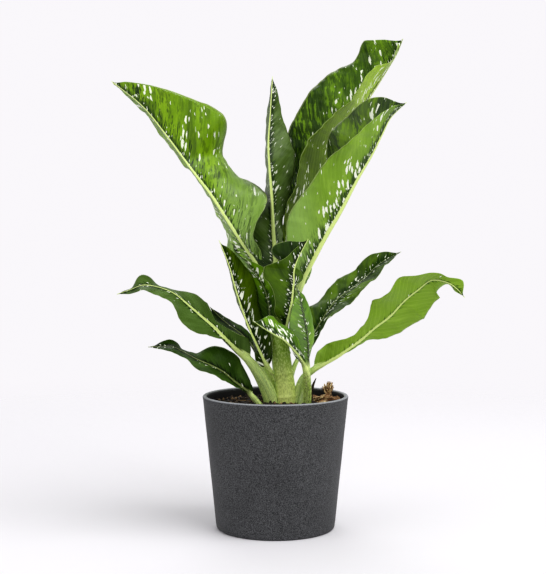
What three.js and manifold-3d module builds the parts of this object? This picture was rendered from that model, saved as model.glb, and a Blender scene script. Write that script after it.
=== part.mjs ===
// A dieffenbachia in a plain cone-shaped pot.
// Millimetres, +Z up. The origin is the centre of the pot's flat underside, and -Y is the front.
// The plant grows from one cane. Each leaf is one grown piece: its stalk, its rib and its blade.

import * as THREE from 'three';
import { mergeVertices } from 'three/addons/utils/BufferGeometryUtils.js';
import Module from 'manifold-3d';

const wasm = await Module();
wasm.setup();

// ---------------------------------------------------------------- driving dimensions

const POT_HEIGHT = 128;
const POT_RIM_RADIUS = 70;
const POT_FOOT_RADIUS = 57;
const POT_WALL = 4;
const POT_FLOOR = 5;
const POT_FOOT_FILLET = 3;
const FILLET_INSET = 1 - Math.SQRT1_2;    // a quarter circle's middle, from its corner
const POT_LIP_CHAMFER = 1;
const POT_SIDES = 48;

const SOIL_BELOW_RIM = 9;         // at the pot's wall
const SOIL_MOUND = 2;             // how much higher the soil stands round the cane
const SOIL_SHOULDER = { out: 0.6, up: 0.7 };   // a point of the mound, as parts of its size
const SOIL_SIDES = 32;

const GAP = 0.3;                  // between pieces that touch
const BLADE_THICKNESS = 1.0;        // at its base
const TIP_THICKNESS = 0.4;
const BLADE_STEPS = 16;           // along a leaf
const BLADE_COLUMNS = [0, 0.1, 0.5, 1];   // parts of the half width, from the rib to a margin
const STALK_SIDES = 6;
const STALK_STEPS = 4;            // for each row of a stalk
const STALK_LAP = 0.4;            // how far a stalk runs on into the rib, in rib rows
const TIP_RADIUS = 0.3;
const RIB_END_SCALE = 0.9;        // the end of the stalk, inside the rib
const MARGIN_MIN = 0.5;           // a blade never gets narrower than this each side
const CANE_SIDES = 12;
const CANE_STEPS = 12;

const COLOURS = {
  pot: 0x34363a, soil: 0x3a2a1d, cane: 0x7fa35a, bark: 0x8a5a2e, husk: 0x9a6a35, driedSheath: 0x4a3420,
};
const LEAF_GREENS = [0x5d8c2f, 0x44702b, 0x2f5526];

const AWAY = new THREE.Vector3(0, 1, 0);

// ---------------------------------------------------------------- the growing parts
//
// cane and stalk rows:  [x, y, z, radius], from the foot up.
// rib rows:             [x, y, z], from the blade's base to its tip.
// left and right rows:  [half width, lift, curl], one for each rib row. Left and right are as seen
//                       from the front, looking along the leaf to its tip. Lift is the angle in
//                       degrees by which that half leans to the front where it leaves the rib, and
//                       curl is how much further it has turned at the margin.

const CANE = [
  [9, 3, 78, 7.0], [10, 2, 100, 8.5], [11, 0, 121, 10.0], [9, 0, 138, 9.6],
  [6, 0, 158, 9.4], [4, 0, 178, 8.8], [3, 1, 196, 7.6], [3, 2, 210, 5.4],
];

const LEAVES = {
  leaf_upper_left: {
    stalk: [[0, 5, 206, 3.4], [-8, 5, 232, 3]],
    rib: [[-18, 5, 253], [-30, 8, 271], [-41, 11, 287], [-61, 16, 318], [-73, 18, 334],
      [-83, 19, 347], [-94, 21, 362], [-106, 23, 378], [-129, 27, 406], [-160, 32, 431]],
    left: [[14, -10, 0], [24, -25, 0], [31, -70, 0], [40, -82, 0], [44, -86, 0], [46, -86, 0],
      [46, -84, 0], [46, -83, 0], [28, -82, 0], [1, -80, 0]],
    right: [[6, 10, 0], [22, 44, 20], [42, 8, 20], [47, -5, -70], [46, 5, -105], [47, -24, -30],
      [56, 4, -20], [50, 4, -20], [25, 8, -10], [1, 0, 0]],
    ribRadius: 2.4,
  },
  leaf_centre_spear: {
    stalk: [[3, 2, 214, 3.6], [2, 2, 236, 3.2]],
    rib: [[0, 2, 257], [-2, 4, 288], [-4, 8, 321], [-6, 11, 346], [-7, 13, 370], [-5, 16, 400],
      [-3, 18, 434]],
    left: [[20, -10, 0], [23, -25, 0], [26, -72, 0], [30, -83, 0], [28, -84, 0], [16, -79, 0],
      [1, -80, 0]],
    right: [[5, -20, 0], [16, -57, 0], [27, -41, -20], [30, -30, -10], [28, -28, -10],
      [16, -44, 0], [1, -30, 0]],
    ribRadius: 2.6,
  },
  leaf_top_right: {
    stalk: [[6, 7, 208, 3.4], [9, 12, 240, 3.2]],
    rib: [[12, 18, 271], [29, 30, 310], [44, 39, 335], [59, 48, 360], [81, 60, 399],
      [100, 68, 428], [111, 73, 445], [122, 77, 463], [126, 79, 472], [129, 80, 479]],
    left: [[5, 20, 0], [30, 55, 0], [44, 49, 0], [48, 56, 0], [44.5, 73, 0], [37, 68, 0],
      [26, 85, 0], [12, 80, 0], [6, 60, 0], [1, 80, 0]],
    right: [[5, -100, 0], [32, -134, 0], [48, -143, 0], [55, -160, 0], [56, -162, 0],
      [50, -152, 0], [39, -149, 0], [36, -164, 0], [24, -172, 0], [1, -170, 0]],
    ribRadius: 2.4,
  },
  leaf_upper_right: {
    stalk: [[9, -5, 204, 3.6], [20, -9, 224, 3.4]],
    rib: [[27, -11, 240], [45, -15, 276], [61, -18, 304], [76, -20, 333], [89, -21, 355],
      [99, -22, 375], [107.5, -22, 391], [122, -23, 405]],
    left: [[14, 5, 0], [39, 9, 0], [42, 24, 0], [42, 36, 0], [40, 51, 0], [32, 57, 0], [20, 65, 0],
      [1, 70, 0]],
    right: [[8, -60, 0], [30, -125, 0], [40, -143, 0], [45, -136, 0], [46, -165, 0], [42, -152, 0],
      [31, -157, 0], [1, -155, 0]],
    ribRadius: 2.8,
  },
  leaf_centre_front: {
    stalk: [[5, -4, 182, 2.4], [9, -12, 189, 2.2]],
    rib: [[11, -17, 197], [13, -21, 209], [15, -26, 219], [16, -31, 229], [17, -35, 239],
      [17, -39, 248], [20, -42, 259], [30, -46, 278]],
    left: [[5, -20, 0], [15, 20, 0], [17, 28, 0], [19, 20, 0], [25, 5, 0], [28, 0, 0], [12, 35, 0],
      [1, 0, 0]],
    right: [[4, -70, 0], [12, -78, 0], [14, -80, 0], [15, -78, 0], [14, -50, 0], [20, -120, 0],
      [27, -160, 0], [1, -150, 0]],
    ribRadius: 1.8,
  },
  leaf_front_arch: {
    stalk: [[29, -8, 112, 4.2], [30, -11, 124, 4.2], [30, -17, 140, 3.8], [29, -23, 152, 3.3]],
    rib: [[25, -28, 163], [18, -34, 173], [8, -40, 184], [0, -44, 189], [-8, -47, 194],
      [-21, -52, 203]],
    left: [[4, -45, 0], [10, -84, 0], [16, -90, 0], [18, -91, 0], [16, -85, 0], [1, -88, 0]],
    right: [[6, -55, 0], [14, -50, 0], [17, -52, 0], [19, -52, 0], [17, -40, 0], [2, -20, 0]],
    ribRadius: 1.8,
  },
  leaf_side_shoot: {
    stalk: [[22, -9, 112, 3], [25, -10, 124, 3.4], [29, -11, 138, 2.4], [31, -12, 151, 2]],
    rib: [[31, -11, 163], [31, -14, 178], [29, -17, 194], [26, -20, 208], [23, -23, 222],
      [20, -26, 233]],
    left: [[9, 10, 0], [15, 0, 20], [17, 5, 20], [14, 11, 20], [7, 24, 0], [1, 20, 0]],
    right: [[2, -60, 0], [7, -14, -60], [10, -11, -60], [9, -6, -60], [6, -37, 0], [1, -20, 0]],
    ribRadius: 1.4,
  },
  leaf_mid_left: {
    stalk: [[-1, -5, 143, 2.8], [-5, -9, 152, 2.4]],
    rib: [[-11, -13, 163], [-19, -18, 180], [-25, -22, 194], [-32, -28, 214], [-38, -34, 234],
      [-43, -39, 253], [-52, -47, 277]],
    left: [[9, -25, 0], [10, -80, 0], [15, -83, 0], [20, -82, 0], [20, -82, 0], [13, -85, 0],
      [1, -80, 0]],
    right: [[9, -4, 0], [18, -25, 0], [18, -35, 0], [22, -39, 0], [24, -38, 0], [16, -50, 0],
      [1, -40, 0]],
    ribRadius: 1.6,
  },
  leaf_mid_left_inner: {
    stalk: [[0, -5, 186, 1.8], [-3, -11, 194, 1.6]],
    rib: [[-5, -14, 203], [-7, -18, 220], [-13, -24, 237], [-23, -30, 252], [-34, -36, 266],
      [-41, -40, 276]],
    left: [[10, -30, 0], [14, -35, 0], [14, -52, 0], [11, -72, 0], [7, -62, 0], [1, -60, 0]],
    right: [[4, 24, 0], [10, 37, 0], [12, 38, 0], [12, 50, 0], [3, 99, 0], [1, 60, 0]],
    ribRadius: 1.2,
  },
  leaf_low_left: {
    stalk: [[-3, -1, 116, 8], [-5, -2, 127, 7.6], [-14, -7, 146, 6], [-25, -12, 162, 4.2]],
    rib: [[-36, -17, 172], [-46, -21, 182], [-59, -26, 196], [-70, -30, 206], [-82, -33, 217],
      [-94, -36, 227], [-108, -39, 233], [-122, -42, 235], [-134, -44, 231], [-146, -46, 227]],
    left: [[4, 10, 0], [2, 40, 0], [13, 52, 0], [23, 52, 0], [24, 58, 0], [20, 69, 0], [17, 68, 0],
      [14, 71, 0], [8, 61, 0], [1, 60, 0]],
    right: [[16, -10, 0], [11, -14, 0], [9, -50, 0], [22, -58, 0], [23, -66, 0], [16, -85, 0],
      [15, -83, 0], [15, -52, 0], [8, -84, 0], [1, -60, 0]],
    ribRadius: 2.6,
  },
  leaf_back_left: {
    stalk: [[1, 6, 134, 2.6], [-12, 14, 154, 2.2]],
    rib: [[-19, 22, 166], [-26, 30, 176], [-35, 38, 184], [-47, 47, 192], [-57, 54, 200],
      [-66, 60, 209]],
    left: [[3, 80, 0], [8, 95, 0], [13, 77, 0], [15, 72, 0], [11, 60, 0], [1, 60, 0]],
    right: [[5, -10, 0], [9, -63, 0], [13, -65, 0], [15, -69, 0], [11, -76, 0], [1, -60, 0]],
    ribRadius: 1.4,
  },
  leaf_bottom_left: {
    stalk: [[-10, -10, 114, 3], [-15, -11, 119.5, 3], [-21, -12.5, 127, 2.8]],
    rib: [[-28, -14, 134], [-40, -20, 144], [-50, -25, 153], [-62, -30, 160], [-74, -34, 166],
      [-86, -37, 173], [-97, -39, 178], [-118, -42, 178]],
    left: [[3, 67, 0], [9, 78, 0], [18, 76, 0], [21, 80, 0], [20, 73, 0], [13, 79, 0], [11, 72, 0],
      [1, 60, 0]],
    right: [[8, -12, 0], [20, -35, 0], [24, -36, 0], [23, -48, 0], [14, -78, 0], [13, -85, 0],
      [11, -62, 0], [1, -60, 0]],
    ribRadius: 1.8,
  },
  leaf_back_right: {
    stalk: [[11, 5, 126, 3.2], [14, 8, 141, 2.8], [19, 12, 156, 2.2]],
    rib: [[28, 19, 171], [37, 26, 183], [47, 34, 199], [60, 43, 216], [78, 52, 229], [92, 58, 240],
      [105, 64, 252], [127, 70, 264]],
    left: [[5, -30, 0], [16, -26, 0], [22, -34, 0], [22, -60, 0], [23, -50, 0], [18, -50, 0],
      [16, -38, 0], [1, -40, 0]],
    right: [[7, 34, 0], [9, 64, 0], [14, 71, 0], [20, 57, 0], [20, 75, 0], [18, 68, 0],
      [13, 74, 0], [1, 60, 0]],
    ribRadius: 1.6,
  },
  leaf_low_right: {
    stalk: [[20, -2, 114, 5.6], [21, -2, 124, 5.4], [26, -4, 143, 3.8], [36, -8, 153, 3]],
    rib: [[48, -12, 160], [61, -16, 168], [79, -22, 182], [92, -26, 194], [107, -30, 206],
      [119, -34, 220], [132, -38, 231], [144, -41, 240], [158, -44, 238], [167, -45, 232],
      [174, -46, 224]],
    left: [[14, 6, 0], [15.5, 8, 0], [9, 25, 0], [14, 38, 0], [27, 31, 0], [28, 49, 0],
      [26, 40, 0], [15, 56, 0], [7, 45, 0], [9, 10, 0], [1, 70, 0]],
    right: [[2, -60, 0], [3, -52, 0], [7, -50, 0], [18, -34, 0], [27, -38, 0], [30, -27, 0],
      [27, -39, 0], [21, -33, 0], [7, -72, 0], [5, -60, 0], [1, -60, 0]],
    ribRadius: 2,
  },
};

// chip rows: [x, y, z, length, width, thickness, yaw, tilt], with the angles in degrees.
const BARK_CHIPS = [
  [47, -14, 121.6, 16, 9, 4.4, 20, -4], [58, 2, 121.4, 13, 9, 4.6, 80, 5],
  [44, 6, 121.9, 15, 10, 5.0, -35, 4], [55, -10, 125.2, 13, 8, 4.0, -25, 12],
  [49, 0, 126.3, 14, 8, 4.4, 50, -10], [38, 22, 121.9, 13, 8, 4.6, 10, 3],
  [57, 16, 121.2, 12, 8, 4.2, -60, -4], [30, 36, 121.4, 11, 7, 4.0, 35, 4],
];
const CHIP_TOP_SCALE = 0.72;
const CHIP_BEND = 0.16;

const HUSK_FOOT = [51, 4, 128];
const HUSK_FOOT_RADIUS = 3.2;
const HUSK_FOOT_SIDES = 8;
const HUSK_FOOT_RINGS = 6;
const HUSK_FIBRES = [
  [-6, 1, 8], [-3, -2, 11], [0, 2, 12], [3, -2, 10], [6, 1, 7], [8, -3, 3], [-8, -2, 3],
];
const FIBRE_RADII = { foot: 1.3, tip: 0.3 };
const FIBRE_ARCH = { out: 0.35, up: 0.6 };   // the middle of a fibre, as parts of its reach
const FIBRE_SIDES = 5;
const FIBRE_STEPS = 4;

// dried sheath rows, as for the cane.
const DRIED_SHEATH = [[34, 1, 117, 2.0], [34, 1, 127, 1.9], [36, 1, 137, 1.3], [39, 1, 144, 0.4]];
const DRIED_SHEATH_STEPS = 6;

// ---------------------------------------------------------------- helpers

function smooth(rows) {
  const points = rows.map(([a, b, c]) => new THREE.Vector3(a, b, c));
  return new THREE.CatmullRomCurve3(points, false, 'catmullrom', 0.5);
}

function toSolid(geometry) {
  const bare = geometry.clone();
  bare.deleteAttribute('normal');
  bare.deleteAttribute('uv');
  const merged = mergeVertices(bare, 1e-4);
  return new wasm.Manifold(new wasm.Mesh({
    numProp: 3,
    vertProperties: Float32Array.from(merged.attributes.position.array),
    triVerts: Uint32Array.from(merged.index.array),
  }));
}

function largestPiece(solid) {
  return solid.decompose().reduce((best, piece) => (piece.volume() > best.volume() ? piece : best));
}

function toGeometry(solid) {
  const mesh = solid.getMesh();
  const geometry = new THREE.BufferGeometry();
  geometry.setAttribute('position', new THREE.BufferAttribute(mesh.vertProperties, 3));
  geometry.setIndex(new THREE.BufferAttribute(mesh.triVerts, 1));
  geometry.computeVertexNormals();
  return geometry;
}

function moveVertices(geometry, moveTo) {
  const position = geometry.attributes.position;
  const point = new THREE.Vector3();
  for (let i = 0; i < position.count; i += 1) {
    point.fromBufferAttribute(position, i);
    const moved = moveTo(point);
    position.setXYZ(i, moved.x, moved.y, moved.z);
  }
  return geometry;
}

// The axes of a leaf at one point of its path: side is to the right of its travel, front to -Y.
function axesAt(path, t) {
  const along = path.getTangent(t);
  const side = new THREE.Vector3().crossVectors(AWAY, along).normalize();
  const front = new THREE.Vector3().crossVectors(side, along);
  return { along, side, front };
}

// A round stalk that follows a path: a cylinder bent onto it, with a radius for each t.
// grow lengthens it at both ends.
function bentStalk(path, radiusAt, sides, steps, grow, end = 1) {
  const cylinder = new THREE.CylinderGeometry(1, 1, 1, sides, steps);
  return moveVertices(cylinder, (p) => {
    const part = p.y + 0.5;
    const t = part * end;
    const { along, side, front } = axesAt(path, t);
    const radius = radiusAt(t) + grow;
    return path.getPoint(t)
      .addScaledVector(along, endPush(part) * grow)
      .addScaledVector(side, p.x * radius)
      .addScaledVector(front, p.z * radius);
  });
}

function endPush(t) {
  if (t < 1e-6) return -1;
  return t > 1 - 1e-6 ? 1 : 0;
}

// Half a blade leaves the rib at its lift and turns by its curl on the way to the margin, so it is
// close to an arc: its chord has the mean of the two angles.
function bladePoint(leaf, t, across, face, grow) {
  const hand = across < 0 ? -1 : 1;
  const column = Math.round(Math.abs(across) * (BLADE_COLUMNS.length - 1));
  const part = BLADE_COLUMNS[column];
  const ribHere = THREE.MathUtils.lerp(leaf.ribRadius, TIP_RADIUS, t);
  const blade = THREE.MathUtils.lerp(BLADE_THICKNESS, TIP_THICKNESS, t) / 2;
  const halfThick = column === 0 ? Math.max(ribHere, blade) : blade;
  const ribTime = leaf.ribStart + (1 - leaf.ribStart) * t;
  const { along, side, front } = axesAt(leaf.path, ribTime);
  const row = (hand < 0 ? leaf.leftHalf : leaf.rightHalf).getPoint(t);
  const reach = (Math.max(row.x, MARGIN_MIN) + grow) * part;
  const lift = THREE.MathUtils.degToRad(row.y);
  const curl = THREE.MathUtils.degToRad(row.z) * part;
  const chord = lift + curl / 2;
  const normal = part === 0 ? ribNormal(leaf, t, side, front) : new THREE.Vector3()
    .addScaledVector(side, -hand * Math.sin(lift + curl))
    .addScaledVector(front, Math.cos(lift + curl));
  return leaf.path.getPoint(ribTime)
    .addScaledVector(along, endPush(t) * grow)
    .addScaledVector(side, hand * reach * Math.cos(chord))
    .addScaledVector(front, reach * Math.sin(chord))
    .addScaledVector(normal, face * (halfThick + grow));
}

// At the rib the two halves share a normal that points midway between theirs.
function ribNormal(leaf, t, side, front) {
  const left = THREE.MathUtils.degToRad(leaf.leftHalf.getPoint(t).y);
  const right = THREE.MathUtils.degToRad(leaf.rightHalf.getPoint(t).y);
  return new THREE.Vector3()
    .addScaledVector(side, Math.sin(left) - Math.sin(right))
    .addScaledVector(front, Math.cos(left) + Math.cos(right))
    .normalize();
}

// The stalk's radius goes from row to row and then on into the rib.
function stalkRadius(leaf, t) {
  const spot = t * leaf.spans;
  const row = Math.floor(spot);
  if (row >= leaf.stalk.length) return leaf.ribRadius * RIB_END_SCALE;
  const next = row + 1 < leaf.stalk.length ? leaf.stalk[row + 1][3] : leaf.ribRadius;
  return THREE.MathUtils.lerp(leaf.stalk[row][3], next, spot - row);
}

// A box's front and back have their quads cut along opposite diagonals. This turns the back's, its
// last ones, to match, so that a twisted blade keeps its thickness.
function matchDiagonals(box, quads) {
  const corners = box.index.array;
  for (let i = corners.length - 6 * quads; i < corners.length; i += 6) {
    const [a, b, d, , c] = corners.slice(i, i + 6);
    corners.set([a, b, c, a, c, d], i);
  }
  return box;
}

// A whole leaf: its stalk, a bent cylinder, and its blade, a thin box bent to shape with a ridge
// along its middle for the rib.
// grow makes it fatter all round, for cutting its neighbours.
function leafSolid(rows, grow) {
  const spans = rows.stalk.length + rows.rib.length - 1;
  const leaf = {
    ...rows,
    spans,
    ribStart: rows.stalk.length / spans,
    path: smooth([...rows.stalk, ...rows.rib]),
    leftHalf: smooth(rows.left),
    rightHalf: smooth(rows.right),
  };
  const columns = 2 * (BLADE_COLUMNS.length - 1);
  const box = new THREE.BoxGeometry(2, 1, 2, columns, BLADE_STEPS, 1);
  const blade = moveVertices(matchDiagonals(box, columns * BLADE_STEPS), (p) => (
    bladePoint(leaf, p.y + 0.5, p.x, p.z, grow)
  ));
  const radiusAt = (t) => stalkRadius(leaf, t);
  const steps = STALK_STEPS * rows.stalk.length;
  const end = (rows.stalk.length + STALK_LAP) / spans;
  const stalk = bentStalk(leaf.path, radiusAt, STALK_SIDES, steps, grow, end);
  return toSolid(blade).add(toSolid(stalk));
}

function paint(colour, roughness) {
  return new THREE.MeshStandardMaterial({ color: colour, roughness, metalness: 0 });
}

const plant = new THREE.Group();

function place(name, geometry, material) {
  const mesh = new THREE.Mesh(geometry, material);
  mesh.name = name;
  plant.add(mesh);
}

// ---------------------------------------------------------------- pot

const slope = (POT_RIM_RADIUS - POT_FOOT_RADIUS) / POT_HEIGHT;
const outerRadius = (z) => POT_FOOT_RADIUS + slope * z;
const chamferZ = POT_HEIGHT - POT_LIP_CHAMFER;
const lipInside = POT_RIM_RADIUS - POT_WALL;
const potProfile = [
  [0, 0], [outerRadius(0) - POT_FOOT_FILLET, 0],
  [outerRadius(0) - POT_FOOT_FILLET * FILLET_INSET, POT_FOOT_FILLET * FILLET_INSET],
  [outerRadius(POT_FOOT_FILLET), POT_FOOT_FILLET],
  [outerRadius(chamferZ), chamferZ], [POT_RIM_RADIUS - POT_LIP_CHAMFER, POT_HEIGHT],
  [lipInside + POT_LIP_CHAMFER, POT_HEIGHT], [lipInside, chamferZ],
  [outerRadius(POT_FLOOR) - POT_WALL, POT_FLOOR], [0, POT_FLOOR],
].map(([x, y]) => new THREE.Vector2(x, y));
const potShape = new THREE.LatheGeometry(potProfile, POT_SIDES).rotateX(Math.PI / 2);
place('pot', toGeometry(toSolid(potShape)), paint(COLOURS.pot, 0.75));

// ---------------------------------------------------------------- cane and leaves

// What is already there, slightly fattened. Each new piece is cut back from it, so it clasps its
// neighbours with a small gap.
let taken = null;

function addPiece(name, material, makeSolid) {
  const whole = makeSolid(0);
  const solid = taken ? largestPiece(whole.subtract(taken)) : whole;
  const grown = makeSolid(GAP);
  taken = taken ? taken.add(grown) : grown;
  place(name, toGeometry(solid), material);
}

const canePath = smooth(CANE);
const caneRadius = smooth(CANE.map(([, , , radius]) => [radius, 0, 0]));
addPiece('cane', paint(COLOURS.cane, 0.6), (grow) => toSolid(
  bentStalk(canePath, (t) => caneRadius.getPoint(t).x, CANE_SIDES, CANE_STEPS, grow),
));

Object.entries(LEAVES).forEach(([name, rows], index) => {
  const green = paint(LEAF_GREENS[index % LEAF_GREENS.length], 0.45);
  addPiece(name, green, (grow) => leafSolid(rows, grow));
});

// ---------------------------------------------------------------- soil

const soilTop = POT_HEIGHT - SOIL_BELOW_RIM;
const soilFloor = POT_FLOOR + GAP;
const wallInside = (z) => outerRadius(z) - POT_WALL - GAP;
const soilProfile = [
  [0, soilFloor], [wallInside(soilFloor), soilFloor],
  [wallInside(soilTop), soilTop],
  [wallInside(soilTop) * SOIL_SHOULDER.out, soilTop + SOIL_MOUND * SOIL_SHOULDER.up],
  [0, soilTop + SOIL_MOUND],
].map(([x, y]) => new THREE.Vector2(x, y));
const soilShape = new THREE.LatheGeometry(soilProfile, SOIL_SIDES).rotateX(Math.PI / 2);
addPiece('soil', paint(COLOURS.soil, 0.95), (grow) => toSolid(
  soilShape.clone().translate(0, 0, grow),
));

// ---------------------------------------------------------------- bark, husk and dried sheath
//
// The bark lies in a small heap on the soil. Each piece is cut back where it lies on the others.

// A bark chip: a block with its top drawn in and its middle bent to one side.
function chipSolid([x, y, z, length, width, thick, yaw, tilt], grow) {
  const box = new THREE.BoxGeometry(length + 2 * grow, width + 2 * grow, thick + 2 * grow, 2, 1, 1);
  const drawn = moveVertices(box, (p) => {
    const narrow = p.z > 0 ? CHIP_TOP_SCALE : 1;
    const bend = Math.abs(p.x) < 0.01 ? CHIP_BEND * width : 0;
    return p.clone().set(p.x * narrow, p.y * narrow + bend, p.z);
  });
  return toSolid(drawn.rotateY(THREE.MathUtils.degToRad(tilt))
    .rotateZ(THREE.MathUtils.degToRad(yaw)).translate(x, y, z));
}

BARK_CHIPS.forEach((row, index) => {
  addPiece(`bark_chip_${index + 1}`, paint(COLOURS.bark, 0.9), (grow) => chipSolid(row, grow));
});

// The husk tuft: coarse fibres that fan out from one foot.
addPiece('husk_tuft', paint(COLOURS.husk, 0.9), (grow) => {
  const foot = new THREE.SphereGeometry(HUSK_FOOT_RADIUS + grow, HUSK_FOOT_SIDES, HUSK_FOOT_RINGS)
    .translate(...HUSK_FOOT);
  const radiusAt = (t) => THREE.MathUtils.lerp(FIBRE_RADII.foot, FIBRE_RADII.tip, t);
  return HUSK_FIBRES.reduce((tuft, [x, y, z]) => {
    const [footX, footY, footZ] = HUSK_FOOT;
    const middle = [footX + x * FIBRE_ARCH.out, footY + y * FIBRE_ARCH.out, footZ + z * FIBRE_ARCH.up];
    const path = smooth([HUSK_FOOT, middle, [footX + x, footY + y, footZ + z]]);
    const fibre = bentStalk(path, radiusAt, FIBRE_SIDES, FIBRE_STEPS, grow);
    return tuft.add(toSolid(fibre));
  }, toSolid(foot));
});

const sheathPath = smooth(DRIED_SHEATH);
const sheathRadius = smooth(DRIED_SHEATH.map(([, , , radius]) => [radius, 0, 0]));
addPiece('dried_sheath', paint(COLOURS.driedSheath, 0.9), (grow) => toSolid(
  bentStalk(sheathPath, (t) => sheathRadius.getPoint(t).x, STALK_SIDES, DRIED_SHEATH_STEPS, grow),
));

export default plant;
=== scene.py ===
import math
from types import SimpleNamespace

import bmesh
import bpy
import numpy as np
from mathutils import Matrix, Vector, noise


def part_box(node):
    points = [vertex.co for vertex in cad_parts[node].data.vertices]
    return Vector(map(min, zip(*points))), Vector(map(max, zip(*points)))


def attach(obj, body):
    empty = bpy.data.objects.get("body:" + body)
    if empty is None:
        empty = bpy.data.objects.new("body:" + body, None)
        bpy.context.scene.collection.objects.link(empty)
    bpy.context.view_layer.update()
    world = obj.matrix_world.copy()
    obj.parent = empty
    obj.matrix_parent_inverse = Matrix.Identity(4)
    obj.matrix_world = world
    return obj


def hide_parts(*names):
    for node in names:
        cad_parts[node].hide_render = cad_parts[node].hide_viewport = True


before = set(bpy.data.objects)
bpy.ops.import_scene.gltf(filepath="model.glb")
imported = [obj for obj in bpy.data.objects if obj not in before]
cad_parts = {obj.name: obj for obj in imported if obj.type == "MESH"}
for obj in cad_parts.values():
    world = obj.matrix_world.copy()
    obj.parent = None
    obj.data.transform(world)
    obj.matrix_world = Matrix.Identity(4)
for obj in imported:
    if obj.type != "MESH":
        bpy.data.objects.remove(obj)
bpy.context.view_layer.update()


# ---------------------------------------------------------------- pot
#
# A plain cone-shaped pot, pressed in one piece from a charcoal mix of fibre and resin. It is matt and
# finely speckled all through. Inside, below the lip, it is darkened with painted shade and some soil
# stain, and its rounded lip is painted paler with some wear and a painted highlight.

POT_FOOT_RADIUS = 0.057
POT_WALL = 0.004
POT_FLOOR = 0.005
POT_FOOT_ROUND = 0.003
POT_LIP_ROUND = 0.0016
POT_TURNS = 192
POT_BASE_RINGS = (0, 0.02, 0.04)
POT_WAVER = 0.00012
POT_WAVER_SCALE = 40
POT_WAVER_FROM = 0.03
POT_GREY = (47, 48, 50)
POT_PALE = (114, 115, 117)
POT_DARK = (20, 20, 22)
# The next two colours: the lip's paler grey, which is some wear and a painted highlight, and the inner wall's
# dark, which is painted shade with some soil stain.
LIP_WEAR_AND_HIGHLIGHT = (176, 178, 184)
POT_INNER_SHADE_AND_STAIN = (16, 14, 13)

pot_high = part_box("pot")[1]
pot_height = pot_high.z
rim_radius = pot_high.x
wall_slope = (rim_radius - POT_FOOT_RADIUS) / pot_height


def colour(red, green, blue):
    """A paint colour from 0 to 255, as the linear light that a shader works in."""
    parts = [part / 255 for part in (red, green, blue)]
    return [part / 12.92 if part <= 0.04045 else ((part + 0.055) / 1.055) ** 2.4 for part in parts] + [1]


def build(name, points, faces, nodes=(), smooth=True):
    """A closed mesh piece that stands for these nodes of the frame."""
    mesh = bpy.data.meshes.new(name)
    mesh.from_pydata([tuple(point) for point in points], [], [tuple(face) for face in faces])
    mesh.polygons.foreach_set("use_smooth", [smooth] * len(mesh.polygons))
    piece = bpy.data.objects.new(name, mesh)
    bpy.context.scene.collection.objects.link(piece)
    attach(piece, "root")
    if nodes:
        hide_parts(*nodes)
    return piece


def record_on(piece, name, values):
    """Writes one number or one vector for each point of the mesh, for its material to read."""
    values = np.asarray(values, np.float32)
    kind, field = ("FLOAT", "value") if values.ndim == 1 else ("FLOAT_VECTOR", "vector")
    piece.data.attributes.new(name, kind, "POINT").data.foreach_set(field, values.ravel())


def arc(centre, radius, start, end, steps):
    """Points of a round corner in a profile, with its angles in degrees."""
    angles = np.radians(np.linspace(start, end, steps))
    return [(centre[0] + radius * math.cos(a), centre[1] + radius * math.sin(a)) for a in angles]


def straight(start, end, steps):
    """Points between two ends of a straight stretch, without the ends."""
    return [tuple(np.array(start) + (np.array(end) - np.array(start)) * i / steps) for i in range(1, steps)]


def between_rings(rings, sides, turned_over=False):
    """Quads from each ring of points to the next, turned over where the rings wind the other way."""
    faces = []
    for ring in range(rings - 1):
        for side in range(sides):
            after = (side + 1) % sides
            low, high = ring * sides, (ring + 1) * sides
            quad = (low + side, low + after, high + after, high + side)
            faces.append((quad[0], quad[3], quad[2], quad[1]) if turned_over else quad)
    return faces


def turned(profile, turns):
    """A closed turned shape, from a profile of (radius, height) that starts and ends on the axis."""
    angles = np.linspace(0, 2 * math.pi, turns, endpoint=False)
    inner = profile[1:-1]
    points = [(r * math.cos(a), r * math.sin(a), z) for r, z in inner for a in angles]
    first, last = len(points), len(points) + 1
    points += [(0, 0, profile[0][1]), (0, 0, profile[-1][1])]
    faces = between_rings(len(inner), turns)
    end = (len(inner) - 1) * turns
    for turn in range(turns):
        after = (turn + 1) % turns
        faces.append((first, after, turn))
        faces.append((last, end + turn, end + after))
    return np.array(points), faces


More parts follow.
